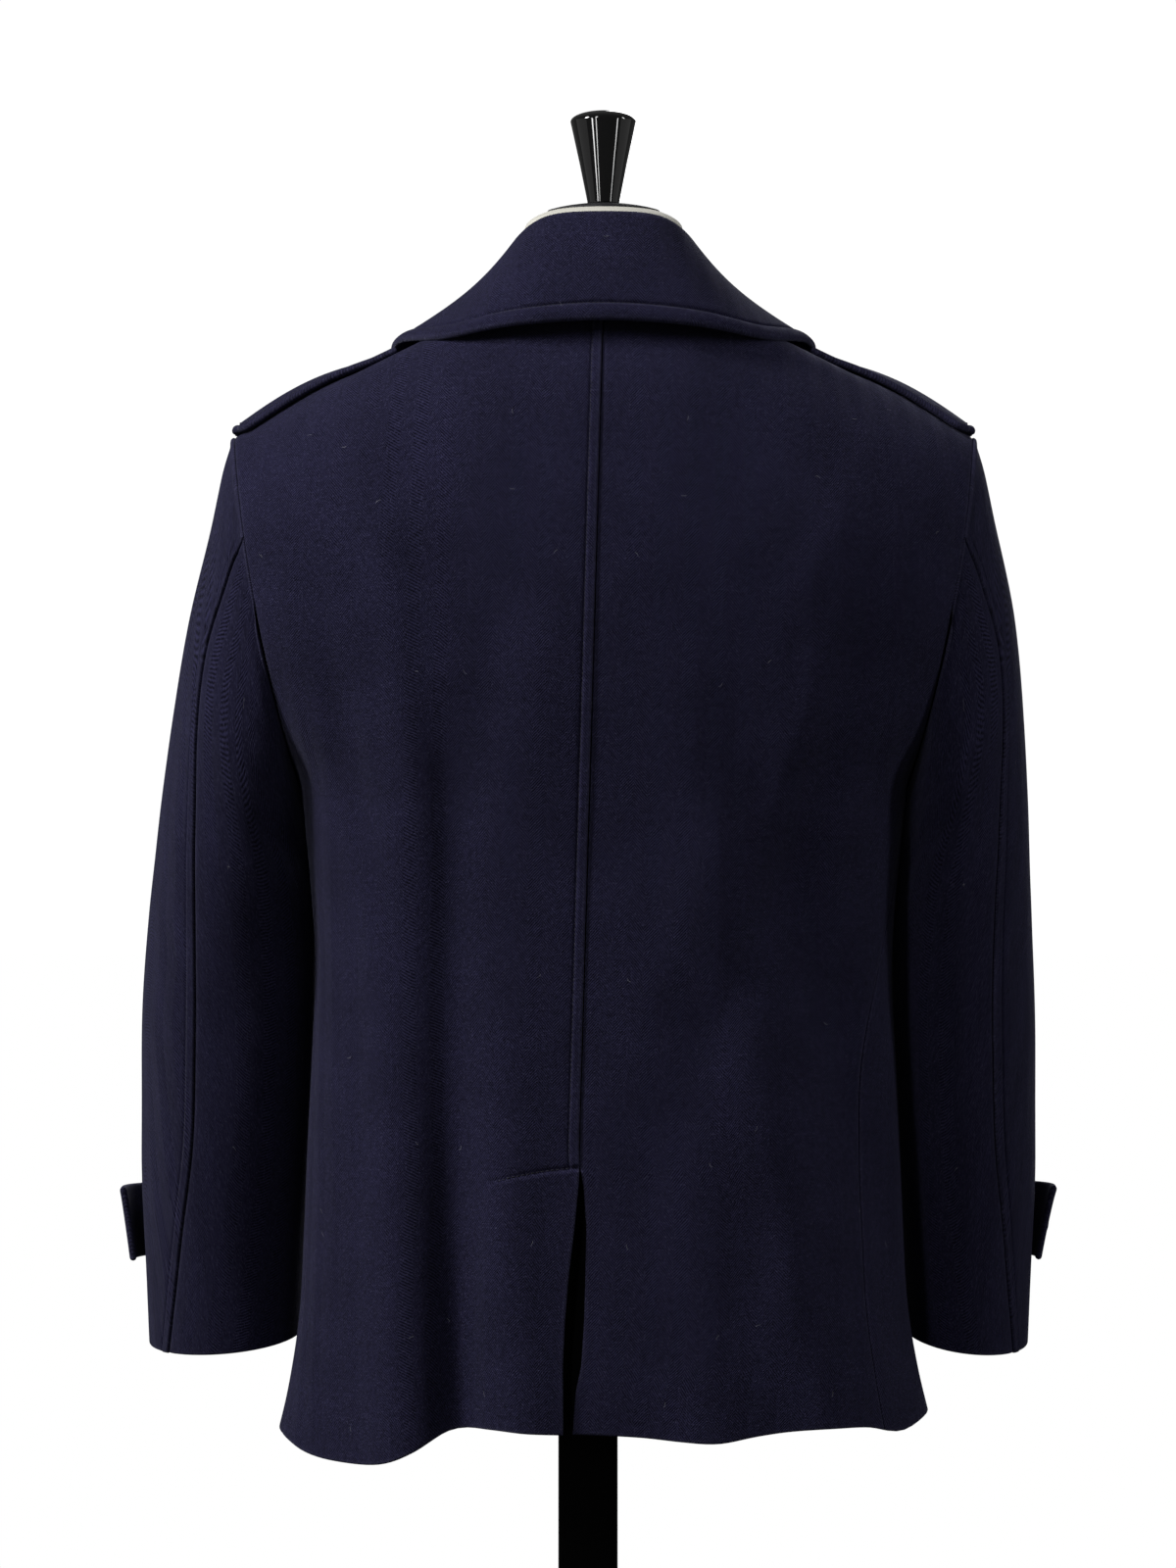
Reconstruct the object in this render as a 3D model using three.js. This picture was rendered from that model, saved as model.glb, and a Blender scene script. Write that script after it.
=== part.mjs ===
import * as THREE from "three";

// A double-breasted wool pea coat on a limbless dress form with a stand.
// Millimetres, +Z up, floor at Z = 0. The coat's back faces +Y and its left side is +X.

const { lerp, clamp, smoothstep, degToRad } = THREE.MathUtils;

// Cloth and seams
const wall = 2.6; // one layer of heavy wool
const doubled = 4.4; // two layers, in the collar, lapels, straps and tabs
const seamGap = 0.3;
const coatCentre = -10.6; // the coat and form stand to one side of the post

// Body of the coat
const sideLine = -5; // depth of the widest point of each section
const fullness = 2.3; // power of the section curve, 2 is an ellipse
const shoulderLine = -4; // depth of the shoulder seam
const neckHalf = 75; // from the middle to the neck end of the shoulder seam
const neckBack = 63;
const neckTop = 1456;
const collarReach = 147; // where the shoulder seam comes out from under the collar
const collarReachHeight = 1405.5;
const shoulderSlope = 0.471;
const ventTop = 872;
const seamDrift = 22; // the centre back seam runs this far to the left by the hem
const overlapEdge = 70; // the closed fronts lap this far past the middle
const layerStep = wall + 1.3; // from one lapped layer to the next
const seat = 0.6; // clearance under a tab or a button
const seamAngle = 0.05; // half of the gap at a side seam, in degrees
const neckRise = 10; // extra height of the shoulder seam at its neck end
const shoulderArch = 8.5; // how far the shoulder seam arches between collar and sleeve
const neckShare = 0.35; // part of the back's top row that runs round the neck
const seamZone = 0.2; // part of a row in which its side seam is kept straight
const sideAngle = { top: 86, hem: 68, lean: 12, run: 220 }; // place of the side seams
const foldFade = 0.6; // power by which a fold fades upwards
const foldDepth = 60; // depth from which the folds have their full size
const hemRiseTop = 820; // height where the hem's rises and dips begin
const rowBend = { backStart: 60, back: 1.2, front: 1.12 }; // slope of the rows to the armhole
const lapZone = { outer: 112, inner: 84, shallow: 40, deep: 90 }; // where the lapped front steps in

// Open vent: the left half swings out, the right half has an under layer that dips in
const flap = { swing: 3.5, above: 20, fade: 150, near: 8 };
const underLayer = { reach: 42, power: 6, dip: 6.5, turnIn: 0.06, from: 12, to: 2, crowd: 1.35 };

const armhole = { bottom: 1118, top: 1357, innerX: 205, outerX: 250, bow: 5, halfDepth: 64 };

// Level sections of the body below the arms: half width, depth of the back and of the front
const bodyRows = [
  { z: 692, half: 220, back: 121, front: -134 },
  { z: 725, half: 213, back: 119, front: -131 },
  { z: 770, half: 206, back: 116, front: -128 },
  { z: 822, half: 203, back: 113, front: -126 },
  { z: ventTop, half: 201, back: 111, front: -124 },
  { z: 935, half: 198, back: 109, front: -122 },
  { z: 1000, half: 195.5, back: 108, front: -120 },
  { z: 1055, half: 198.8, back: 109, front: -120 },
  { z: 1092, half: 202.6, back: 111, front: -121 },
  { z: 1119, half: 205.4, back: 113, front: -122 },
];

// Rows of the back above the arms: height and depth at the centre seam, the angle round the
// armhole where the row ends, and the power of its curve
const backRows = [
  { z: 1162, depth: 116, angle: 135, round: 2.3, flat: 5 },
  { z: 1206, depth: 118, angle: 112, round: 2.3, flat: 5 },
  { z: 1252, depth: 119, angle: 92, round: 2.3, flat: 5 },
  { z: 1298, depth: 117, angle: 72, round: 2.3, flat: 5 },
  { z: 1342, depth: 111, angle: 54, round: 2.0, flat: 8 },
  { z: 1384, depth: 101, angle: 38, round: 1.7, flat: 16 },
  { z: 1418, depth: 87, angle: 24, round: 1.3, flat: 28 },
  { z: 1440, depth: 75, angle: 11, round: 0.9, flat: 40 },
];

// Rows of the front above the arms: the armhole angle, the inner edge (the roll line above the
// top button), the depth at the middle and the power of the curve
const frontRows = [
  { angle: -140, inner: -70, z: 1165, depth: -124, round: 2.3, flat: 5 },
  { angle: -118, inner: -70, z: 1210, depth: -126, round: 2.3, flat: 5 },
  { angle: -98, inner: -68, z: 1250, depth: -126, round: 2.3, flat: 5 },
  { angle: -80, inner: -42, z: 1288, depth: -124, round: 2.3, flat: 5 },
  { angle: -64, inner: -14, z: 1322, depth: -119, round: 2.2, flat: 5 },
  { angle: -49, inner: 14, z: 1356, depth: -111, round: 2.0, flat: 8 },
  { angle: -35, inner: 38, z: 1388, depth: -99, round: 1.7, flat: 12 },
  { angle: -22, inner: 56, z: 1416, depth: -84, round: 1.3, flat: 20 },
  { angle: -10, inner: 68, z: 1436, depth: -62, round: 1.0, flat: 30 },
];

// Largest folds of the body: place across at the hem and at the top, height where it fades,
// half width and how far it stands out
const backFolds = [
  { hemX: 93, topX: 106, top: 1190, width: 17, out: -16 },
  { hemX: 140, topX: 142, top: 1150, width: 22, out: 8 },
  { hemX: 52, topX: 66, top: 1000, width: 19, out: 7 },
  { hemX: -72, topX: -50, top: 960, width: 28, out: 7 },
  { hemX: -232, topX: -78, top: 1200, width: 27, out: -14 },
  { hemX: -150, topX: -40, top: 1190, width: 28, out: 7 },
];
const frontFolds = [
  { hemX: 118, topX: 100, top: 1080, width: 26, out: -9 },
  { hemX: -120, topX: -96, top: 1040, width: 28, out: -8 },
  { hemX: 160, topX: 150, top: 980, width: 24, out: 6 },
  { hemX: -158, topX: -150, top: 960, width: 24, out: 6 },
];
// How far the hem rises or dips, from the right side to the left at equal steps across
const hemRises = [
  7, -1, 5, 6.5, 5.3, 2.5, -1, 0, 2.5, 4, 5, 6.3, 7, 5, -8, -17, -18.5, -15, -4,
].map((rise) => ({ rise }));
const hemStations = { first: -225, step: 25 };

// Sleeve rings from armhole to cuff: outer and inner points, depth of the middle, half depth,
// and the angle of the back seam
const sleeveRings = [
  { outX: 250, outZ: 1357, inX: 205, inZ: 1118, mid: -4, half: 64, seam: 66 },
  { outX: 258, outZ: 1334, inX: 206.5, inZ: 1110, mid: -7, half: 67, seam: 61 },
  { outX: 267, outZ: 1293, inX: 206, inZ: 1102, mid: -10, half: 71, seam: 55 },
  { outX: 281.5, outZ: 1234, inX: 204.5, inZ: 1092, mid: -14, half: 74, seam: 51 },
  { outX: 293, outZ: 1168, inX: 201.2, inZ: 1076, mid: -19, half: 76, seam: 55 },
  { outX: 303, outZ: 1098, inX: 197.4, inZ: 1048, mid: -26, half: 75, seam: 63 },
  { outX: 311, outZ: 1030, inX: 195.4, inZ: 1003, mid: -33, half: 71, seam: 68 },
  { outX: 317, outZ: 952, inX: 197, inZ: 937, mid: -39, half: 66, seam: 72 },
  { outX: 318, outZ: 872, inX: 200.5, inZ: 866, mid: -44, half: 60, seam: 71 },
  { outX: 314.5, outZ: 800, inX: 205, inZ: 799, mid: -48, half: 55, seam: 59 },
  { outX: 312, outZ: 739, inX: 208, inZ: 746, mid: -50, half: 52, seam: 46 },
];
const frontSeam = -128; // angle of the sleeve's front seam
const sleeveSeamAngle = 0.15; // half of the gap at a sleeve seam, in degrees
const hangZone = { from: 2, to: 7 }; // rings over which a sleeve takes its own hang
const cuffDip = { from: 8.6, drop: 7 }; // how far the back of the cuff hangs lower
const headFade = 3; // how fast the sleeve leaves the armhole's clearance
const sleeveHang = {
  left: { side: 1, outward: 0, deeper: 0, forward: 0, tabLow: 4 },
  right: { side: -1, outward: -20, deeper: 8, forward: 6, tabLow: 0 },
};
const sleeveFolds = [
  { at: 5.4, angle: -62, along: 0.42, around: 46, out: -4 },
  { at: 6.3, angle: -84, along: 0.36, around: 40, out: -5 },
  { at: 4.3, angle: 118, along: 0.45, around: 34, out: -4 },
  { at: 7.6, angle: 20, along: 0.7, around: 26, out: -2.5 },
];

// Collar sections from the centre back to its front end: neckline, top of the fold, edge of the
// fall and how far the fall bulges
const collarRows = [
  {
    neckX: 0, neckY: 60, neckZ: 1457, foldX: 0, foldY: 65, foldZ: 1503,
    edgeX: 0, edgeY: 99, edgeZ: 1428, bulge: 3.5,
  },
  {
    neckX: 38, neckY: 50, neckZ: 1456, foldX: 36, foldY: 56, foldZ: 1501,
    edgeX: 62, edgeY: 94, edgeZ: 1425, bulge: 2,
  },
  {
    neckX: 64, neckY: 22, neckZ: 1453.5, foldX: 55, foldY: 31, foldZ: 1491,
    edgeX: 109, edgeY: 64, edgeZ: 1419.8, bulge: -2,
  },
  {
    neckX: 71, neckY: -8, neckZ: 1450.5, foldX: 62.5, foldY: -6, foldZ: 1478,
    edgeX: 141, edgeY: 4, edgeZ: 1422.6, bulge: -4,
  },
  {
    neckX: 68, neckY: -40, neckZ: 1442, foldX: 62.5, foldY: -43, foldZ: 1460,
    edgeX: 144, edgeY: -52, edgeZ: 1410.2, bulge: 1,
  },
  {
    neckX: 60, neckY: -69, neckZ: 1425, foldX: 58, foldY: -76, foldZ: 1438,
    edgeX: 124, edgeY: -94, edgeZ: 1377, bulge: 0,
  },
];
const collarFold = { rollRadius: 5.6, standShare: 0.3, rollShare: 0.55 };

// Lapel widths along the roll line, by row of the front
const lapelLeft = [
  { row: 12.15, from: 0, to: 4 },
  { row: 13, from: 0, to: 34 },
  { row: 14, from: 0, to: 74 },
  { row: 15, from: 0, to: 112 },
  { row: 15.6, from: 0, to: 66 },
  { row: 16, from: 0, to: 44 },
  { row: 16.8, from: 0, to: 10 },
];
const lapelRight = [
  { row: 13.9, from: 42, to: 68 },
  { row: 14.3, from: 22, to: 84 },
  { row: 14.7, from: 0, to: 100 },
  { row: 15, from: 0, to: 112 },
  { row: 15.6, from: 0, to: 66 },
  { row: 16, from: 0, to: 44 },
  { row: 16.8, from: 0, to: 10 },
];

const lapelLift = { seat: 0.8, roll: 2.4, rollWidth: 14 };

const strap = { from: 138, to: 249, halfWidth: 20, point: 12, narrowing: 0.5, upright: 0.5, lift: 1.5 };
const tab = {
  top: 8.35, bottom: 9.06, from: -124, to: 9, liftTop: 10.5, liftBottom: 1.5, leaves: -70, slope: 0.7,
};

const button = { radius: 14, height: 4, rim: 1.6, dish: 1.1 };
const cuffButton = { ...button, radius: 10, height: 3.4 };
const buttonColumns = [-48, 52];
const buttonHeights = [1232, 1112, 992];
const cuffButtonPlace = { angle: -20, foot: 1.9 };

// Dress form rings from the bottom to the neck, all about the shoulder line
const formRings = [
  { z: 800, half: 148, back: 90, front: -92, round: 2.2 },
  { z: 808, half: 156, back: 96, front: -98, round: 2.2 },
  { z: 870, half: 164, back: 99, front: -101, round: 2.2 },
  { z: 930, half: 156, back: 94, front: -96, round: 2.2 },
  { z: 1000, half: 140, back: 86, front: -86, round: 2.2 },
  { z: 1060, half: 142, back: 88, front: -88, round: 2.2 },
  { z: 1130, half: 156, back: 95, front: -98, round: 2.2 },
  { z: 1200, half: 168, back: 101, front: -106, round: 2.2 },
  { z: 1262, half: 178, back: 103, front: -106, round: 2.2 },
  { z: 1318, half: 190, back: 99, front: -97, round: 2.1 },
  { z: 1352, half: 197, back: 91, front: -88, round: 1.9 },
];
const ridgeStations = [190, 168, 147, 128, 110, 96, 85];
const ridgeOuter = { half: 190, back: 84, front: 82, round: 1.7 };
const ridgeInner = { half: 85, back: 56, front: 42, round: 1.5 };
const neck = { base: 1453, top: 1493, halfBase: 57, half: 53, back: 50, front: -55, rise: 12 };
const cap = { radius: 53.5, rim: 4, top: 1514 };
const knobSize = { foot: 10.6, head: 22, top: 1578, corner: 1570.5 };
const post = { width: 40, top: 799.7 };
const base = { radius: 190, height: 12, bevel: 3 };

// Counts of the grids: rows from the hem to the vent's top, on to the arms and above them,
// then columns, and the steps of turned pieces
const grid = {
  hemRows: 8, waistRows: 9, backRows: 11, frontRows: 10, columns: 12, rightColumns: 13,
  lapelColumns: 5, lapelRows: 12, sleeveRows: 16, topColumns: 12, underColumns: 11,
  tabColumns: 14, tabRows: 4, strapColumns: 10, strapRows: 6, collarRows: 24,
  buttonSteps: 18, formSteps: 28, domeSteps: 7, knobSteps: 24, baseSteps: 40,
};
const sleeveHeadSteps = [0, 0.35, 0.8];
const sleeveFirstRow = 1.4;
const collarColumns = [0, 0.1, 0.2, 0.3, 0.36, 0.42, 0.48, 0.55, 0.64, 0.73, 0.82, 0.91, 1];

// Power curve of a section: signed power of a sine or cosine
function signedPower(value, power) {
  return Math.sign(value) * Math.abs(value) ** power;
}

// Point of a level body section at an angle from the back, positive towards the left
function bodyPoint(row, angle) {
  const s = Math.sin(degToRad(angle));
  const c = Math.cos(degToRad(angle));
  const depth = (c >= 0 ? row.back : -row.front) - (c >= 0 ? sideLine : -sideLine);
  return new THREE.Vector3(
    row.half * signedPower(s, 2 / fullness),
    sideLine + depth * signedPower(c, 2 / fullness),
    row.z,
  );
}

// Point on the armhole at an angle from the shoulder tip, positive towards the back
function armholePoint(angle) {
  const a = degToRad(angle);
  const t = (1 + Math.cos(a)) / 2;
  return new THREE.Vector3(
    lerp(armhole.innerX, armhole.outerX, t) + armhole.bow * Math.sin(Math.PI * t),
    shoulderLine + armhole.halfDepth * Math.sin(a),
    lerp(armhole.bottom, armhole.top, t),
  );
}

// Height of the form's shoulder, straight outside and rising in a curve to the neck
function shoulderHeight(x) {
  const inside = Math.max(0, (collarReach - x) / (collarReach - neckHalf));
  return collarReachHeight + shoulderSlope * (collarReach - x) + neckRise * inside ** 2;
}

// Height of the shoulder seam, which arches over the form between collar and sleeve
function seamHeight(x) {
  const outside = clamp((x - collarReach) / (armhole.outerX - collarReach), 0, 1);
  return shoulderHeight(x) + shoulderArch * Math.sin(Math.PI * outside);
}

// Across a row above the arms: a power curve from the middle that passes through the armhole.
// It is eased over the row's flat part, so that both halves meet without a ridge
function rowDepth(x, row, edge) {
  const eased = (across) => Math.hypot(across, row.flat) - row.flat;
  const share = Math.abs((edge.y - sideLine) / (row.depth - sideLine));
  const reach = eased(edge.x) / (1 - share ** row.round) ** (1 / row.round);
  const left = 1 - Math.min(1, eased(x) / reach) ** row.round;
  return sideLine + (row.depth - sideLine) * left ** (1 / row.round);
}

// A row as an evenly walked line: t from 0 to 1 follows its length
function evenRow(pointOf) {
  const count = 60;
  const points = Array.from({ length: count + 1 }, (_, i) => pointOf(i / count));
  const run = [0];
  for (let i = 1; i <= count; i += 1) {
    run.push(run[i - 1] + points[i].distanceTo(points[i - 1]));
  }
  return (t) => {
    const goal = clamp(t, 0, 1) * run[count];
    let i = 1;
    while (i < count && run[i] < goal) i += 1;
    const part = (goal - run[i - 1]) / (run[i] - run[i - 1]);
    return points[i - 1].clone().lerp(points[i], part);
  };
}

// Catmull-Rom blend of four values
function blendFour(a, b, c, d, t) {
  const straight = (c - a) * t;
  const bend = (2 * a - 5 * b + 4 * c - d) * t * t;
  const turn = (3 * b - a - 3 * c + d) * t * t * t;
  return 0.5 * (2 * b + straight + bend + turn);
}

// Loft through rows: v counts rows from the first to the last. Up to the armhole's lowest row
// the side seam doesn't bend towards the rows above, which differ between back and front
function loft(rows, seamShare) {
  const last = rows.length - 1;
  return (u, v) => {
    const i = clamp(Math.floor(v), 0, last - 1);
    const t = clamp(v, 0, last) - i;
    const four = [i - 1, i, i + 1, i + 2].map((k) => rows[clamp(k, 0, last)](u));
    const [a, b, c, d] = four;
    if (i + 1 === bodyRows.length - 1) d.lerp(c.clone().multiplyScalar(2).sub(b), seamShare(u));
    return new THREE.Vector3(
      blendFour(a.x, b.x, c.x, d.x, t),
      blendFour(a.y, b.y, c.y, d.y, t),
      blendFour(a.z, b.z, c.z, d.z, t),
    );
  };
}

// Table row at a fractional place, by the same blend, for every named column
function tableAt(table, place) {
  const last = table.length - 1;
  const i = clamp(Math.floor(place), 0, last - 1);
  const t = clamp(place, 0, last) - i;
  const four = [i - 1, i, i + 1, i + 2].map((k) => table[clamp(k, 0, last)]);
  const row = {};
  for (const key of Object.keys(table[0])) {
    row[key] = blendFour(four[0][key], four[1][key], four[2][key], four[3][key], t);
  }
  return row;
}

// Drift of the centre back seam to the wearer's left, growing downwards
function driftAt(z) {
  return seamDrift * clamp((neckTop - z) / (neckTop - bodyRows[0].z), 0, 1);
}

// Angle of the side seam of one side at a height
function sideSeam(z, side) {
  const down = smoothstep(armhole.bottom - z, 0, sideAngle.run);
  return lerp(sideAngle.top, sideAngle.hem, down) + side * lerp(0, sideAngle.lean, down);
}

function foldAt(folds, x, z) {
  let out = 0;
  for (const fold of folds) {
    const up = clamp((z - bodyRows[0].z) / (fold.top - bodyRows[0].z), 0, 1);
    const across = (x - lerp(fold.hemX, fold.topX, up)) / fold.width;
    out += fold.out * Math.exp(-across * across) * (1 - up) ** foldFade;
  }
  return out;
}

function hemRise(x, z) {
  const { rise } = tableAt(hemRises, (x - hemStations.first) / hemStations.step);
  return rise * smoothstep(-z, -hemRiseTop, -bodyRows[0].z);
}

// Folds and the hem's line, the same for every piece of the body that passes here
function folded(p) {
  const back = foldAt(backFolds, p.x, p.z) * clamp(p.y / foldDepth, 0, 1);
  const front = foldAt(frontFolds, p.x, p.z) * clamp(p.y / foldDepth, -1, 0);
  p.y += back + front;
  p.z += hemRise(p.x, p.z);
  return p;
}

// Height along a row above the arms, level at the middle and sloping to the armhole
function rowHeight(x, inner, z, edge, bend) {
  const along = clamp((x - inner) / (edge.x - inner), 0, 1);
  return z + (edge.z - z) * along ** bend;
}

// One half of the back: side is 1 for the left and -1 for the right
function backSurface(side) {
  const rows = bodyRows.map((row) => {
    const seamX = driftAt(row.z) * side;
    const start = (Math.asin((Math.abs(seamX) / row.half) ** (fullness / 2)) * 180) / Math.PI;
    const first = Math.sign(seamX) * start + seamAngle;
    const final = sideSeam(row.z, side) - seamAngle;
    return evenRow((t) => bodyPoint(row, lerp(first, final, t)));
  });
  for (const row of backRows) {
    const edge = armholePoint(row.angle);
    const first = driftAt(row.z) * side + seamGap / 2;
    rows.push(evenRow((t) => {
      const x = lerp(first, edge.x, t);
      const z = rowHeight(x, rowBend.backStart, row.z, edge, rowBend.back);
      return new THREE.Vector3(x, rowDepth(x, row, edge), z);
    }));
  }
  rows.push(evenRow((t) => neckAndShoulder(t)));
  const base = loft(rows, (u) => smoothstep(u, 1 - seamZone, 1));
  return (u, v) => {
    const p = base(u, v);
    p.x *= side;
    return folded(p);
  };
}

// Top row of the back: round the neck, then out along the shoulder seam
function neckAndShoulder(t) {
  if (t < neckShare) {
    const a = (t / neckShare) * (Math.PI / 2);
    const x = Math.max(neckHalf * Math.sin(a), seamGap / 2);
    const y = shoulderLine + (neckBack - shoulderLine) * Math.cos(a) + seamGap / 2;
    return new THREE.Vector3(x, y, lerp(neckTop, seamHeight(neckHalf), (x / neckHalf) ** 2));
  }
  const x = lerp(neckHalf, armhole.outerX, (t - neckShare) / (1 - neckShare));
  return new THREE.Vector3(x, shoulderLine + seamGap / 2, seamHeight(x));
}

// One front, from its side seam and armhole to the roll line and front edge
function frontSurface(side) {
  const rows = bodyRows.map((row) => {
    const first = sideSeam(row.z, side) + seamAngle;
    const s = (overlapEdge / row.half) ** (fullness / 2);
    const final = 180 + (Math.asin(s) * 180) / Math.PI;
    return evenRow((t) => bodyPoint(row, lerp(first, final, t)));
  });
  for (const row of frontRows) {
    const edge = armholePoint(row.angle);
    rows.push(evenRow((t) => {
      const x = lerp(edge.x, row.inner, t);
      const z = rowHeight(x, row.inner, row.z, edge, rowBend.front);
      return new THREE.Vector3(x, rowDepth(x, row, edge), z);
    }));
  }
  rows.push(evenRow((t) => {
    const x = lerp(armhole.outerX, neckHalf, t);
    return new THREE.Vector3(x, shoulderLine - seamGap / 2, seamHeight(x));
  }));
  const base = loft(rows, (u) => 1 - smoothstep(u, 0, seamZone));
  return (u, v) => {
    const p = base(u, v);
    const across = smoothstep(-p.x, -lapZone.outer, -lapZone.inner);
    const lapped = side < 0 ? across * smoothstep(-p.y, lapZone.shallow, lapZone.deep) : 0;
    p.x *= side;
    p.y += lapped * layerStep;
    return folded(p);
  };
}

// Normal of a surface by small steps, turned outwards by sign
function normalOf(surface, u, v, sign, span) {
  const stepU = 0.004;
  const stepV = 0.032;
  const a = surface(Math.min(u + stepU, span.u[1]), v);
  const b = surface(Math.max(u - stepU, span.u[0]), v);
  const c = surface(u, Math.min(v + stepV, span.v[1]));
  const d = surface(u, Math.max(v - stepV, span.v[0]));
  return a.sub(b).cross(c.sub(d)).normalize().multiplyScalar(sign);
}

// Closed wall under a surface: outer points on it, inner points one thickness inside
function shell(surface, us, vs, thickness, sign, turn = () => {}) {
  const span = { u: [us[0], us[us.length - 1]], v: [vs[0], vs[vs.length - 1]] };
  const outer = [];
  const inner = [];
  for (const v of vs) {
    for (const u of us) {
      const p = surface(u, v);
      const n = normalOf(surface, u, v, sign, span);
      turn(n, u, v);
      outer.push(p);
      inner.push(p.clone().addScaledVector(n, -thickness));
    }
  }
  const wide = us.length;
  const high = vs.length;
  const count = wide * high;
  const faces = [];
  const quad = (a, b, c, d) => faces.push(a, b, c, a, c, d);
  for (let j = 0; j + 1 < high; j += 1) {
    for (let i = 0; i + 1 < wide; i += 1) {
      const a = j * wide + i;
      quad(a, a + 1, a + wide + 1, a + wide);
      quad(count + a, count + a + wide, count + a + wide + 1, count + a + 1);
    }
  }
  for (let i = 0; i + 1 < wide; i += 1) {
    const top = (high - 1) * wide + i;
    quad(i, count + i, count + i + 1, i + 1);
    quad(top, top + 1, count + top + 1, count + top);
  }
  for (let j = 0; j + 1 < high; j += 1) {
    const a = j * wide;
    const b = a + wide - 1;
    quad(a, a + wide, count + a + wide, count + a);
    quad(b, count + b, count + b + wide, b + wide);
  }
  return solidFrom([...outer, ...inner], faces);
}

// Geometry from points and faces, turned so that its faces point outwards
function solidFrom(points, faces) {
  let volume = 0;
  for (let i = 0; i < faces.length; i += 3) {
    const [a, b, c] = [points[faces[i]], points[faces[i + 1]], points[faces[i + 2]]];
    volume += a.dot(b.clone().cross(c));
  }
  const index = volume < 0 ? faces.slice().reverse() : faces;
  const geometry = new THREE.BufferGeometry();
  geometry.setAttribute("position", new THREE.Float32BufferAttribute(points.flatMap((p) => [...p]), 3));
  geometry.setIndex(index);
  geometry.computeVertexNormals();
  return geometry;
}

function spread(from, to, count) {
  return Array.from({ length: count + 1 }, (_, i) => lerp(from, to, i / count));
}

// Rows of a body panel, the same for back and front below the arms where they share a seam
const ventRow = 4;
const underarmRow = bodyRows.length - 1;
const afterVent = 0.5;
const afterArm = 0.6;
const lowerSteps = [
  ...spread(0, ventRow, grid.hemRows),
  ...spread(ventRow + afterVent, underarmRow, grid.waistRows),
];
const shoulderRow = bodyRows.length + backRows.length;
const frontTopRow = bodyRows.length + frontRows.length;

const backLeftSurface = backSurface(1);
const backRightSurface = backSurface(-1);
const frontLeftSurface = frontSurface(1);
const frontRightSurface = frontSurface(-1);

// At the shoulder seam and the centre seam both walls go straight in, so they don't cross
const justBelow = 0.01;

function straightAtSeams(top, onShoulder, onCentre) {
  return (n, u, v) => {
    if (v > top - justBelow && onShoulder(u)) n.y = 0;
    if (onCentre(u, v)) n.x = 0;
    n.normalize();
  };
}

const backTurn = straightAtSeams(
  shoulderRow,
  (u) => u > neckShare - justBelow,
  (u, v) => u === 0 && v >= ventRow,
);
const frontTurn = straightAtSeams(frontTopRow, () => true, () => false);

const backSteps = [...lowerSteps, ...spread(underarmRow + afterArm, shoulderRow, grid.backRows)];

function backLeft() {
  const swing = (u, v) => {
    const p = backLeftSurface(u, v);
    const below = smoothstep(ventTop + flap.above - p.z, 0, flap.fade);
    p.y += flap.swing * below * Math.exp(-((u * flap.near) ** 2));
    return p;
  };
  return shell(swing, spread(0, 1, grid.columns), backSteps, wall, -1, backTurn);
}

// The right half carries the vent's under layer, which dips in below the left half
function backRight() {
  const { reach, power, dip, turnIn, from, to, crowd } = underLayer;
  const surface = (u, v) => {
    const p = backRightSurface(u, v);
    const seamX = driftAt(p.z);
    p.x += reach * (1 - u) ** power * smoothstep(ventRow - v, turnIn, 2 * turnIn);
    p.y -= dip * smoothstep(ventRow - v, 0, turnIn) * smoothstep(p.x, seamX - from, seamX - to);
    return p;
  };
  const vs = [...backSteps];
  vs.splice(lowerSteps.indexOf(ventRow), 0, ventRow - 2 * turnIn, ventRow - turnIn);
  const us = spread(0, 1, grid.rightColumns).map((t) => t ** crowd);
  return shell(surface, us, vs, wall, 1, backTurn);
}

function front(surface, sign) {
  const vs = [...lowerSteps, ...spread(underarmRow + afterArm, frontTopRow, grid.frontRows)];
  return shell(surface, spread(0, 1, grid.columns), vs, wall, sign, frontTurn);
}

// Lapel: the strip beside the roll line, made from the front's own points and moved out
function lapel(surface, table, sign) {
  const lengthAt = (v) => {
    const steps = 20;
    let run = 0;
    for (let i = 0; i < steps; i += 1) {
      run += surface(i / steps, v).distanceTo(surface((i + 1) / steps, v));
    }
    return run;
  };
  const raised = (q, place) => {
    const row = tableAt(table, place);
    const across = lerp(row.from, row.to, q);
    const u = 1 - across / lengthAt(row.row);
    const p = surface(u, row.row);
    const n = normalOf(surface, u, row.row, sign, { u: [0, 1], v: [0, frontTopRow] });
    const roll = lapelLift.roll * Math.exp(-across / lapelLift.rollWidth);
    return p.addScaledVector(n, doubled + lapelLift.seat + roll);
  };
  const vs = spread(0, table.length - 1, grid.lapelRows);
  return shell(raised, spread(0, 1, grid.lapelColumns), vs, doubled, -sign);
}

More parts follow.
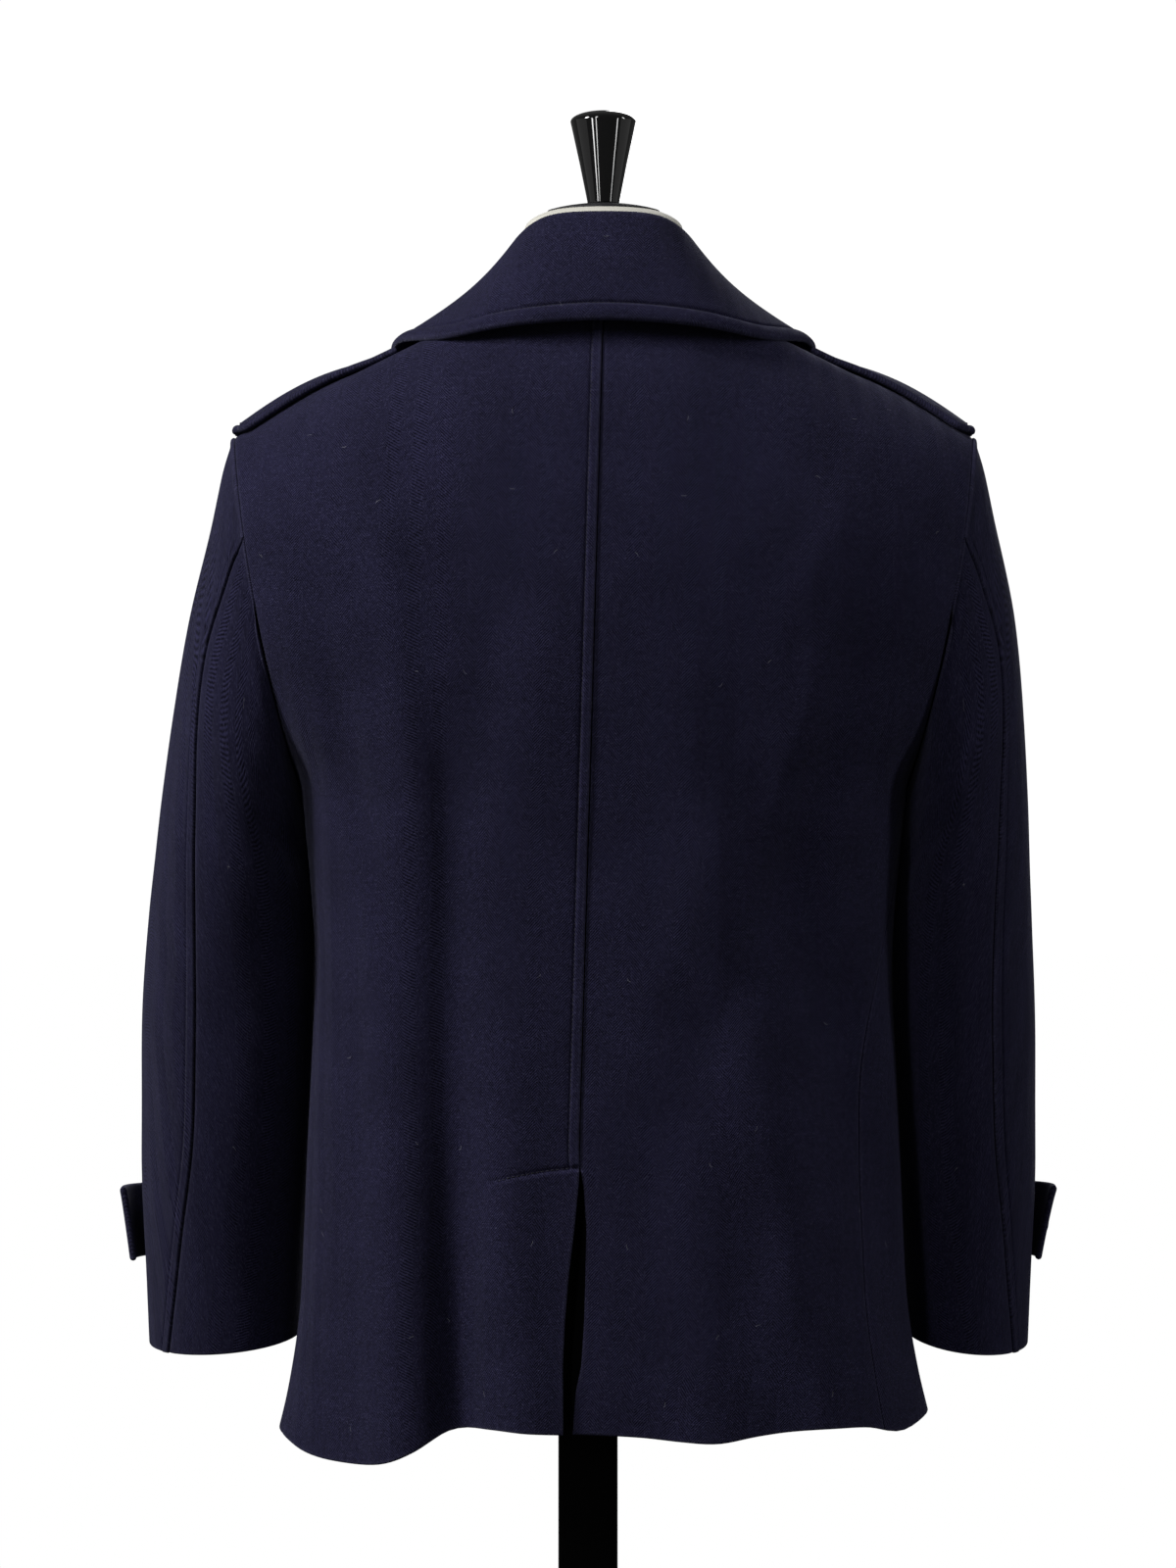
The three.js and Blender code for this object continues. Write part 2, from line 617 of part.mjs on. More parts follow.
// Sleeve surface of one side: angle from the outer line, positive to the back
function sleeveSurface(hang) {
  return (angle, ring) => {
    const row = tableAt(sleeveRings, ring);
    const low = smoothstep(ring, hangZone.from, hangZone.to);
    const outX = row.outX + hang.outward * low;
    const a = degToRad(angle);
    const c = Math.cos(a);
    const share = (1 + c) / 2;
    const head = Math.max(0, 1 - ring) * armhole.bow * Math.sin(Math.PI * share);
    const seam = Math.exp(-ring * headFade);
    const dip = cuffDip.drop * smoothstep(ring, cuffDip.from, ringCount);
    const p = new THREE.Vector3(
      lerp(row.inX, outX, share) + head + seam * (3 * seamGap + wall * Math.max(0, c)),
      row.mid - hang.forward * low + (row.half + hang.deeper * low) * Math.sin(a),
      lerp(row.inZ, row.outZ, share) - seam * seamGap - dip * Math.max(0, Math.sin(a)),
    );
    let out = 0;
    for (const fold of sleeveFolds) {
      const along = (ring - fold.at) / fold.along;
      const turn = ((angle - fold.angle + 540) % 360) - 180;
      out += fold.out * Math.exp(-along * along - (turn / fold.around) ** 2);
    }
    p.x += out * c;
    p.y += out * Math.sin(a);
    p.x *= hang.side;
    return p;
  };
}

const ringCount = sleeveRings.length - 1;
const sleeveSteps = [...sleeveHeadSteps, ...spread(sleeveFirstRow, ringCount, grid.sleeveRows)];

function topSleeve(hang) {
  const surface = sleeveSurface(hang);
  const strip = (u, v) => {
    const backSeam = tableAt(sleeveRings, v).seam - sleeveSeamAngle;
    return surface(lerp(frontSeam + sleeveSeamAngle, backSeam, u), v);
  };
  return shell(strip, spread(0, 1, grid.topColumns), sleeveSteps, wall, -hang.side);
}

function underSleeve(hang) {
  const surface = sleeveSurface(hang);
  const strip = (u, v) => {
    const backSeam = tableAt(sleeveRings, v).seam + sleeveSeamAngle;
    return surface(lerp(backSeam, 360 + frontSeam - sleeveSeamAngle, u), v);
  };
  return shell(strip, spread(0, 1, grid.underColumns), sleeveSteps, wall, -hang.side);
}

// Angles and rings within which a sleeve's normals are taken
const sleeveSpan = { u: [-400, 400], v: [0, ringCount] };

// How far the tab stands off the cuff, most at the top of its free end
function tabLift(hang, angle, v) {
  const low = tab.liftBottom + hang.tabLow;
  return lerp(tab.liftTop, low, v ** tab.slope) * smoothstep(angle, tab.leaves, 0);
}

// Tab round the front of the cuff; its free end stands off the outer side
function cuffTab(hang) {
  const surface = sleeveSurface(hang);
  const raised = (u, v) => {
    const angle = lerp(tab.from, tab.to, u);
    const ring = lerp(tab.top, tab.bottom, v);
    const p = surface(angle, ring);
    const n = normalOf(surface, angle, ring, -hang.side, sleeveSpan);
    return p.addScaledVector(n, doubled + seat + tabLift(hang, angle, v));
  };
  return shell(raised, spread(0, 1, grid.tabColumns), spread(0, 1, grid.tabRows), doubled, -hang.side);
}

// Point of the shoulder at a place across and a distance from the seam, negative to the front
function shoulderPoint(back, frontPanel, x, off) {
  const halvings = 24;
  const neckEnd = 0.2; // share of a back row that the neck takes up
  const lowest = 2.5; // rows below the seam that a strap may reach
  const panel = off >= 0 ? back : frontPanel;
  const top = off >= 0 ? shoulderRow : frontTopRow;
  const seek = (low, high, test) => {
    let [a, b] = [low, high];
    for (let i = 0; i < halvings; i += 1) {
      const m = (a + b) / 2;
      if (test(m)) a = m;
      else b = m;
    }
    return (a + b) / 2;
  };
  const at = (v) => {
    const rising = off >= 0;
    const u = seek(rising ? neckEnd : 0, 1, (m) => (Math.abs(panel(m, v).x) < x) === rising);
    return panel(u, v);
  };
  const v = seek(0, lowest, (m) => Math.abs(at(top - m).y - shoulderLine) < Math.abs(off));
  return at(top - v);
}

function shoulderStrap(side, back, frontPanel) {
  const base = (u, v) => {
    const x = lerp(strap.from, strap.to, u);
    const narrow = 1 - strap.narrowing * smoothstep(x, strap.to - strap.point, strap.to);
    const off = lerp(-strap.halfWidth, strap.halfWidth, v) * narrow;
    return shoulderPoint(back, frontPanel, x, off);
  };
  const raised = (u, v) => {
    const n = normalOf(base, u, v, side, { u: [0, 1], v: [0, 1] });
    n.y *= strap.upright;
    return base(u, v).addScaledVector(n.normalize(), strap.lift + doubled);
  };
  const us = spread(0, 1, grid.strapColumns);
  return shell(raised, us, spread(0, 1, grid.strapRows), doubled, side);
}

// Collar: up the stand, over the fold and down the fall
function collar() {
  const table = [...collarRows.slice(1).reverse().map((row) => ({
    ...row, neckX: -row.neckX, foldX: -row.foldX, edgeX: -row.edgeX,
  })), ...collarRows];
  const last = table.length - 1;
  const { rollRadius, standShare, rollShare } = collarFold;
  const path = (u, v) => {
    const row = tableAt(table, v * last);
    const neckPoint = new THREE.Vector3(row.neckX, row.neckY, row.neckZ);
    const fold = new THREE.Vector3(row.foldX, row.foldY, row.foldZ);
    const edge = new THREE.Vector3(row.edgeX, row.edgeY, row.edgeZ);
    const out = edge.clone().sub(neckPoint).setZ(0).normalize();
    const centre = fold.clone().setZ(row.foldZ - rollRadius);
    const fallDrop = edge.clone().sub(centre);
    const lean = Math.atan2(fallDrop.dot(out), -fallDrop.z);
    const rollAt = (a) => centre.clone()
      .addScaledVector(out, -rollRadius * Math.cos(a))
      .setZ(centre.z + rollRadius * Math.sin(a));
    if (u < standShare) return neckPoint.lerp(rollAt(0), u / standShare);
    const rollEnd = Math.PI - lean;
    if (u < rollShare) return rollAt(((u - standShare) / (rollShare - standShare)) * rollEnd);
    const t = (u - rollShare) / (1 - rollShare);
    return rollAt(rollEnd).lerp(edge, t).addScaledVector(out, row.bulge * Math.sin(Math.PI * t));
  };
  return shell(path, collarColumns, spread(0, 1, grid.collarRows), doubled, -1);
}

// Sew-through button about its own axis, foot at the origin
function buttonGeometry(size) {
  const { radius, height, rim, dish } = size;
  const profile = [
    [0, 0], [radius * 0.8, 0], [radius, height * 0.45], [radius - 0.3, height * 0.8],
    [radius - rim, height], [radius - rim * 2.2, height - dish], [0, height - dish],
  ];
  const points = profile.map(([x, y]) => new THREE.Vector2(x, y));
  return new THREE.LatheGeometry(points, grid.buttonSteps);
}

function pinned(geometry, foot, normal) {
  const turn = new THREE.Quaternion().setFromUnitVectors(new THREE.Vector3(0, 1, 0), normal);
  return geometry.applyQuaternion(turn).translate(foot.x, foot.y, foot.z);
}

// Place on the left front at a distance across and a height
function onFront(x, z) {
  const [rowFrom, rowTo, rowStep] = [5, 13.5, 0.05];
  const [shareFrom, shareStep] = [0.4, 0.01];
  let best = null;
  for (let v = rowFrom; v < rowTo; v += rowStep) {
    for (let u = shareFrom; u <= 1; u += shareStep) {
      const p = frontLeftSurface(u, v);
      const miss = Math.hypot(p.x - x, p.z - z);
      if (!best || miss < best.miss) best = { miss, u, v };
    }
  }
  return best;
}

function frontButton(x, z) {
  const { u, v } = onFront(x, z);
  const n = normalOf(frontLeftSurface, u, v, -1, { u: [0, 1], v: [0, frontTopRow] });
  const foot = frontLeftSurface(u, v).addScaledVector(n, seat);
  return pinned(buttonGeometry(button), foot, n);
}

function cuffTabButton(hang) {
  const surface = sleeveSurface(hang);
  const { angle, foot: clearance } = cuffButtonPlace;
  const ring = (tab.top + tab.bottom) / 2;
  const n = normalOf(surface, angle, ring, -hang.side, sleeveSpan);
  const foot = surface(angle, ring).addScaledVector(n, doubled + clearance + tabLift(hang, angle, 0.5));
  return pinned(buttonGeometry(cuffButton), foot, n);
}

// Smooth limbless torso: rings about the shoulder line, closed at the bottom and at the neck
function torso() {
  const rings = [...formRings];
  const below = wall / Math.cos(Math.atan(shoulderSlope)) + seat;
  for (const x of ridgeStations) {
    const share = (x - ridgeInner.half) / (ridgeOuter.half - ridgeInner.half);
    rings.push({
      z: shoulderHeight(x) - below,
      half: x,
      back: lerp(ridgeInner.back, ridgeOuter.back, share),
      front: -lerp(ridgeInner.front, ridgeOuter.front, share),
      round: lerp(ridgeInner.round, ridgeOuter.round, share),
    });
  }
  const neckRing = { half: neck.half, back: neck.back, front: neck.front, round: 2 };
  rings.push({ z: neck.base, half: neck.halfBase, back: 48, front: -48, round: 2 });
  rings.push({ ...neckRing, z: neck.base + neck.rise });
  rings.push({ ...neckRing, z: neck.top });
  const around = grid.formSteps;
  const points = [];
  for (const ring of rings) {
    for (let i = 0; i < around; i += 1) {
      const a = (i / around) * Math.PI * 2;
      const s = signedPower(Math.sin(a), 2 / ring.round);
      const c = signedPower(Math.cos(a), 2 / ring.round);
      const depth = c >= 0 ? ring.back - shoulderLine : shoulderLine - ring.front;
      points.push(new THREE.Vector3(ring.half * s, shoulderLine + depth * c, ring.z));
    }
  }
  return closedRings(points, around, rings.length);
}

// Closed body from stacked rings of equal count, each end a fan about its middle
function closedRings(points, around, high) {
  const faces = [];
  const all = [...points];
  for (let j = 0; j + 1 < high; j += 1) {
    for (let i = 0; i < around; i += 1) {
      const a = j * around + i;
      const b = j * around + ((i + 1) % around);
      faces.push(a, b, b + around, a, b + around, a + around);
    }
  }
  for (const [start, order] of [[0, -1], [(high - 1) * around, 1]]) {
    const middle = new THREE.Vector3();
    for (let i = 0; i < around; i += 1) middle.addScaledVector(points[start + i], 1 / around);
    all.push(middle);
    for (let i = 0; i < around; i += 1) {
      const pair = [start + i, start + ((i + 1) % around)];
      if (order < 0) pair.reverse();
      faces.push(...pair, all.length - 1);
    }
  }
  return solidFrom(all, faces);
}

function turned(profile, segments) {
  const geometry = new THREE.LatheGeometry(profile.map(([x, y]) => new THREE.Vector2(x, y)), segments);
  return geometry.rotateX(Math.PI / 2);
}

// Shallow dome that closes the neck
function neckCap() {
  const foot = neck.top + seamGap;
  const shoulderZ = foot + cap.rim;
  const profile = [[0, foot], [cap.radius - 1, foot], [cap.radius, foot + 1], [cap.radius, shoulderZ]];
  for (let i = 1; i <= grid.domeSteps; i += 1) {
    const a = (i / grid.domeSteps) * (Math.PI / 2);
    profile.push([cap.radius * Math.cos(a), shoulderZ + (cap.top - shoulderZ) * Math.sin(a)]);
  }
  profile[profile.length - 1][0] = 0;
  return turned(profile, grid.formSteps);
}

function knobTop() {
  const { foot, head, top, corner } = knobSize;
  const low = cap.top + seamGap;
  const profile = [
    [0, low], [foot, low], [foot + 0.4, low + 3], [lerp(foot, head, 0.45), lerp(low, corner, 0.5)],
    [head - 1, corner - 3], [head, corner], [head - 1.5, corner + 2.6], [head * 0.6, top - 1.6], [0, top],
  ];
  return turned(profile, grid.knobSteps);
}

function standPost() {
  const foot = base.height + seamGap;
  const high = post.top - foot;
  return new THREE.BoxGeometry(post.width, post.width, high).translate(0, 0, foot + high / 2);
}

function basePlate() {
  const { radius, height, bevel } = base;
  const profile = [[0, 0], [radius, 0], [radius, height - bevel], [radius - bevel, height], [0, height]];
  return turned(profile, grid.baseSteps);
}

const cloth = { color: 0x1c1c34, roughness: 0.95, metalness: 0 };
const plastic = { color: 0x0c0c12, roughness: 0.35, metalness: 0 };
const coverCloth = { color: 0xd9d6c8, roughness: 0.9, metalness: 0 };
const lacquer = { color: 0x040404, roughness: 0.08, metalness: 0 };
const blackPaint = { color: 0x050505, roughness: 0.6, metalness: 0.1 };

function named(name, geometry, look) {
  const mesh = new THREE.Mesh(geometry, new THREE.MeshStandardMaterial(look));
  mesh.name = name;
  return mesh;
}

const coat = new THREE.Group();
coat.position.x = coatCentre;
coat.add(
  named("back_left", backLeft(), cloth),
  named("back_right", backRight(), cloth),
  named("front_left", front(frontLeftSurface, -1), cloth),
  named("front_right", front(frontRightSurface, 1), cloth),
  named("lapel_left", lapel(frontLeftSurface, lapelLeft, -1), cloth),
  named("lapel_right", lapel(frontRightSurface, lapelRight, 1), cloth),
  named("collar", collar(), cloth),
  named("shoulder_strap_left", shoulderStrap(1, backLeftSurface, frontLeftSurface), cloth),
  named("shoulder_strap_right", shoulderStrap(-1, backRightSurface, frontRightSurface), cloth),
);
for (const [name, hang] of Object.entries(sleeveHang)) {
  coat.add(
    named(`top_sleeve_${name}`, topSleeve(hang), cloth),
    named(`under_sleeve_${name}`, underSleeve(hang), cloth),
    named(`cuff_tab_${name}`, cuffTab(hang), cloth),
    named(`cuff_button_${name}`, cuffTabButton(hang), plastic),
  );
}
let buttonNumber = 1;
for (const z of buttonHeights) {
  for (const x of buttonColumns) {
    coat.add(named(`front_button_${buttonNumber}`, frontButton(x, z), plastic));
    buttonNumber += 1;
  }
}
coat.add(
  named("form_torso", torso(), coverCloth),
  named("neck_cap", neckCap(), coverCloth),
  named("knob", knobTop(), lacquer),
);

const model = new THREE.Group();
model.add(coat, named("post", standPost(), blackPaint), named("base_plate", basePlate(), blackPaint));

export default model;
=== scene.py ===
import math
import bpy
import numpy as np
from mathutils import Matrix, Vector


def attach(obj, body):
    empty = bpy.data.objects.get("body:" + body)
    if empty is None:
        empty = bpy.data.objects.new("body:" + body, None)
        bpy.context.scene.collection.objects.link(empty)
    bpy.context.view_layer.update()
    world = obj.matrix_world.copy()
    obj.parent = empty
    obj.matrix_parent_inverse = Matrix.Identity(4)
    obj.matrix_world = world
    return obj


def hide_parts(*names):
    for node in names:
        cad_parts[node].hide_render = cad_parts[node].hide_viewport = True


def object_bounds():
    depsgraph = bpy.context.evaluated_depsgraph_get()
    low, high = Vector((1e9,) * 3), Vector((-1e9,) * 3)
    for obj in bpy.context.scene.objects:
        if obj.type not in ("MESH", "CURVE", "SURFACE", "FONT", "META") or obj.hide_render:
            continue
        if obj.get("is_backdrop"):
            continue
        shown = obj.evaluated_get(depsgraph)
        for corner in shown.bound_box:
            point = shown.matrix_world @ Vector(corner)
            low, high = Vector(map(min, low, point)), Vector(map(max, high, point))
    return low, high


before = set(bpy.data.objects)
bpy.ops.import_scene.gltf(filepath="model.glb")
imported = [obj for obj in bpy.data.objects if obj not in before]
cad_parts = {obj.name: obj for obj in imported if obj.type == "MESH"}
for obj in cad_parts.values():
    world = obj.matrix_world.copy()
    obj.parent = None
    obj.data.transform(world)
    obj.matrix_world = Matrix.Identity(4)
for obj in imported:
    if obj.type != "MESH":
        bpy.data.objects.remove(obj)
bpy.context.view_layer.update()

# A wool pea coat on a dress form with a stand. Tables are in millimetres about the coat's own
# middle; meshes are in metres in the CAD frame.
unit = 0.001
coatCentre = -10.6


def mix(a, b, t):
    return a + (b - a) * t


# 0 below low, 1 above high and an S curve, 3t^2 - 2t^3, between.
def smooth(x, low, high):
    t = np.clip((x - low) / (high - low), 0, 1)
    return t * t * (3 - 2 * t)


# A bump of height 1 at x = 0, falling as exp(-(x / width)^2).
def bell(x, width):
    return np.exp(-((x / width) ** 2))


def signedPower(value, power):
    return np.sign(value) * np.abs(value) ** power


# Catmull-Rom curve from b to c: it leaves each point along the line of its neighbours.
def fourBlend(a, b, c, d, t):
    return 0.5 * (2 * b + (c - a) * t + (2 * a - 5 * b + 4 * c - d) * t**2 + (3 * b - a - 3 * c + d) * t**3)


# A table's row at a fractional place, all columns on Catmull-Rom curves through its rows.
def tableAt(table, place):
    table = np.asarray(table, float)
    last = len(table) - 1
    i = np.clip(np.floor(place), 0, last - 1).astype(int)
    t = (np.clip(place, 0, last) - i)[..., None]
    return fourBlend(*(table[np.clip(i + k, 0, last)] for k in (-1, 0, 1, 2)), t)


# Length walked along a grid of points in one direction, from 0 at its start.
def runOf(points, axis):
    steps = np.linalg.norm(np.diff(points, axis=axis), axis=-1)
    start = np.zeros_like(np.take(steps, [0], axis=axis))
    return np.concatenate([start, np.cumsum(steps, axis=axis)], axis=axis)


def unitVectors(v):
    return v / np.maximum(np.linalg.norm(v, axis=-1, keepdims=True), 1e-12)


body = {
    "sideLine": -5, "fullness": 2.3, "shoulderLine": -4, "neckHalf": 75, "neckBack": 63, "neckTop": 1456,
    "collarReach": 147, "collarReachHeight": 1405.5, "shoulderSlope": 0.471, "ventTop": 872, "hem": 692,
    "seamDrift": 22, "overlapEdge": 70, "layerStep": 3.9, "seamGap": 0.3, "wall": 2.6, "doubled": 4.4,
    # level sections: height, half width, depth of the back and of the front
    "rows": [
        (692, 220, 121, -134), (725, 213, 119, -131), (770, 206, 116, -128), (822, 203, 113, -126),
        (872, 201, 111, -124), (935, 198, 109, -122), (1000, 195.5, 108, -120), (1055, 198.8, 109, -120),
        (1092, 202.6, 111, -121), (1119, 205.4, 113, -122),
    ],
    # above the arms: height and depth at the middle, angle round the armhole, power, flat part
    "backRows": [
        (1162, 116, 135, 2.3, 5), (1206, 118, 112, 2.3, 5), (1252, 119, 92, 2.3, 5), (1298, 117, 72, 2.3, 5),
        (1342, 111, 54, 2.0, 8), (1384, 101, 38, 1.7, 16), (1418, 87, 24, 1.3, 28), (1440, 75, 11, 0.9, 40),
    ],
    # the front's also have an inner edge: angle, inner, height, depth, power, flat part
    "frontRows": [
        (-140, -70, 1165, -124, 2.3, 5), (-118, -70, 1210, -126, 2.3, 5), (-98, -68, 1250, -126, 2.3, 5),
        (-80, -42, 1288, -124, 2.3, 5), (-64, -14, 1322, -119, 2.2, 5), (-49, 14, 1356, -111, 2.0, 8),
        (-35, 38, 1388, -99, 1.7, 12), (-22, 56, 1416, -84, 1.3, 20), (-10, 68, 1436, -62, 1.0, 30),
    ],
    # folds: place across at the hem and at the top, height where it fades, half width, how far out
    "backFolds": [(93, 106, 1190, 17, -15), (137, 144, 1180, 23, 15), (50, 66, 1010, 20, 10),
                  (-72, -50, 960, 28, 9), (-232, -78, 1200, 27, -14), (-150, -40, 1200, 28, 12)],
    "frontFolds": [(118, 100, 1080, 26, -9), (-120, -96, 1040, 28, -8), (160, 150, 980, 24, 6),
                   (-158, -150, 960, 24, 6)],
    # how far the hem rises or dips, at equal steps across from the right side to the left
    "hemRises": [7, -1, 5, 6.5, 5.3, 2.5, -1, 0, 2.5, 4, 5, 6.3, 7, 5, -8, -17, -18.5, -15, -4],
    "hemFirst": -225, "hemStep": 25, "hemRiseTop": 820,
    "shoulderArch": 8.5, "backBend": 1.2, "frontBend": 1.12,
    # soft undulation of the cloth: wave across, wave up, phase and height
    "drape": [(96, 410, 0.4, 0.9), (61, 250, 2.1, 0.6), (143, 180, 4.0, 0.7), (38, 520, 1.2, 0.3)],
    # creases: middle across and up, lean from upright in degrees, half length, half width, how far out
    "creases": [(128, 1150, -8, 150, 15, 4.5), (163, 1120, -12, 130, 11, -4), (84, 1130, 6, 120, 17, -3),
                (40, 1210, 3, 110, 20, 1.6), (-150, 1160, 16, 110, 13, -4), (-122, 1120, 20, 120, 15, 3.6),
                (-60, 1040, 24, 140, 22, 2.6), (-96, 1010, 24, 150, 18, -3), (165, 960, -3, 120, 10, -2.4),
                (-176, 960, 8, 110, 11, 3), (-12, 960, 2, 120, 20, 1.3), (150, 1290, -22, 60, 13, 2),
                (-152, 1295, 24, 60, 13, 2), (74, 800, 0, 80, 12, 2.4), (-118, 780, 8, 70, 15, 3)],
}
armhole = {"bottom": 1118, "top": 1357, "innerX": 205, "outerX": 250, "bow": 5, "halfDepth": 64}
hemTable = np.array(body["hemRises"])[:, None]
rowSamples = 241
rowShares = np.linspace(0, 1, rowSamples)
ventRow = 4
underarmRow = len(body["rows"]) - 1
shoulderRow = len(body["rows"]) + len(body["backRows"])
frontTopRow = len(body["rows"]) + len(body["frontRows"])


# The same line with its points at equal distances along it.
def evenWalk(points):
    run = runOf(points, 0)
    goal = rowShares * run[-1]
    return np.stack([np.interp(goal, run, points[:, k]) for k in range(3)], 1)


# Point of a level section: x and y are signed powers, 2 / fullness, of sine and cosine.
def sectionPoint(row, angle):
    z, half, back, front = row
    s, c = np.sin(np.radians(angle)), np.cos(np.radians(angle))
    depth = np.where(c >= 0, back - body["sideLine"], body["sideLine"] - front)
    power = 2 / body["fullness"]
    x = half * signedPower(s, power)
    return np.stack([x, body["sideLine"] + depth * signedPower(c, power), np.full_like(x, z)], 1)


# Ellipse of the armhole, leaning out to the shoulder tip and bowed a little.
def armholePoint(angle):
    a = math.radians(angle)
    t = (1 + math.cos(a)) / 2
    x = mix(armhole["innerX"], armhole["outerX"], t) + armhole["bow"] * math.sin(math.pi * t)
    return x, body["shoulderLine"] + armhole["halfDepth"] * math.sin(a), mix(armhole["bottom"], armhole["top"], t)


# Height of the form's shoulder: a straight slope, and a square curve up to the neck.
def shoulderHeight(x):
    inside = np.maximum(0, (body["collarReach"] - x) / (body["collarReach"] - body["neckHalf"]))
    return body["collarReachHeight"] + body["shoulderSlope"] * (body["collarReach"] - x) + 10 * inside**2


# Height of the shoulder seam: the form's shoulder and half a sine wave between collar and sleeve.
def seamHeight(x):
    outside = np.clip((x - body["collarReach"]) / (armhole["outerX"] - body["collarReach"]), 0, 1)
    return shoulderHeight(x) + body["shoulderArch"] * np.sin(math.pi * outside)


# Depth across a row: (1 - (x / reach)^power)^(1 / power), which passes through the armhole.
def rowDepth(x, edge, depth, power, flat):
    eased = np.hypot(x, flat) - flat
    share = abs((edge[1] - body["sideLine"]) / (depth - body["sideLine"]))
    reach = (math.hypot(edge[0], flat) - flat) / (1 - share**power) ** (1 / power)
    left = np.maximum(0, 1 - np.minimum(1, eased / reach) ** power)
    return body["sideLine"] + (depth - body["sideLine"]) * left ** (1 / power)


def driftAt(z):
    return body["seamDrift"] * np.clip((body["neckTop"] - z) / (body["neckTop"] - body["hem"]), 0, 1)


def sideSeam(z, side):
    down = smooth(armhole["bottom"] - z, 0, 220)
    return mix(86, 68, down) + side * mix(0, 12, down)


# Adds the body's folds, undulation, creases and the hem's rises, by place, the same for every panel:
# a crease is exp(-(aside / half width)^2) times exp(-(along / half length)^2) on a leaning line.
def folded(p):
    x, y, z = p[..., 0], p[..., 1], p[..., 2]
    for folds, part in ((body["backFolds"], np.clip(y / 60, 0, 1)), (body["frontFolds"], np.clip(y / 60, -1, 0))):
        for hemX, topX, top, width, out in folds:
            up = np.clip((z - body["hem"]) / (top - body["hem"]), 0, 1)
            y = y + part * out * bell(x - mix(hemX, topX, up), width) * (1 - up) ** 0.6
    for across, tall, phase, high in body["drape"]:
        wave = np.sin(x / across * 2 + phase) * np.cos(z / tall * 2 * math.pi + phase * 3 + x / 300)
        y = y + np.clip(p[..., 1] / 60, -1, 1) * high * wave * smooth(-z, -1400, -1180)
    for acrossAt, upAt, lean, long, wide, out in body["creases"]:
        c, s = math.cos(math.radians(lean)), math.sin(math.radians(lean))
        aside, along = (x - acrossAt) * c + (z - upAt) * s, (z - upAt) * c - (x - acrossAt) * s
        y = y + np.clip(p[..., 1] / 60, 0, 1) * out * bell(aside, wide) * bell(along, long)
    rise = tableAt(hemTable, (x - body["hemFirst"]) / body["hemStep"])[..., 0]
    return np.stack([x, y, z + rise * smooth(-z, -body["hemRiseTop"], -body["hem"])], -1)


# Surface through rows of even points: straight along a row, Catmull-Rom across the rows.
def rowSurface(rows, seamShare):
    table = np.array(rows)
    last = len(rows) - 1

    def surface(u, v):
        u, v = np.broadcast_arrays(u, v)
        i = np.clip(np.floor(v), 0, last - 1).astype(int)
        t = (np.clip(v, 0, last) - i)[..., None]
        place = np.clip(u, 0, 1) * (rowSamples - 1)
        j = np.clip(np.floor(place), 0, rowSamples - 2).astype(int)
        part = (place - j)[..., None]
        a, b, c, d = (mix(table[k, j], table[k, j + 1], part) for k in (np.clip(i - 1, 0, last), i, i + 1,
                                                                        np.clip(i + 2, 0, last)))
        bend = ((i + 1 == underarmRow) * seamShare(u))[..., None]
        return fourBlend(a, b, c, mix(d, 2 * c - b, bend), t)

    return surface


# One half of the back: u goes from the centre seam to the side seam, v counts rows upwards.
def backHalf(side):
    rows = []
    for row in body["rows"]:
        start = math.degrees(math.asin((driftAt(row[0]) / row[1]) ** (body["fullness"] / 2)))
        rows.append(evenWalk(sectionPoint(row, mix(side * start + 0.05, sideSeam(row[0], side) - 0.05, rowShares))))
    for z, depth, angle, power, flat in body["backRows"]:
        edge = armholePoint(angle)
        x = mix(driftAt(z) * side + body["seamGap"] / 2, edge[0], rowShares)
        along = np.clip((x - 60) / (edge[0] - 60), 0, 1)
        rows.append(evenWalk(np.stack([x, rowDepth(x, edge, depth, power, flat), z + (edge[2] - z) * along ** body["backBend"]], 1)))
    neckPart = 0.35
    a = np.clip(rowShares / neckPart, 0, 1) * math.pi / 2
    x = np.where(rowShares < neckPart, np.maximum(body["neckHalf"] * np.sin(a), 0.15),
                 mix(body["neckHalf"], armhole["outerX"], (rowShares - neckPart) / (1 - neckPart)))
    deep = body["neckBack"] - body["shoulderLine"]
    y = body["shoulderLine"] + 0.15 + np.where(rowShares < neckPart, deep * np.cos(a), 0)
    round_ = mix(body["neckTop"], seamHeight(body["neckHalf"]), (x / body["neckHalf"]) ** 2)
    rows.append(evenWalk(np.stack([x, y, np.where(rowShares < neckPart, round_, seamHeight(x))], 1)))
    base = rowSurface(rows, lambda u: smooth(u, 0.8, 1))

    def surface(u, v):
        return folded(base(u, v) * (side, 1, 1))

    return surface


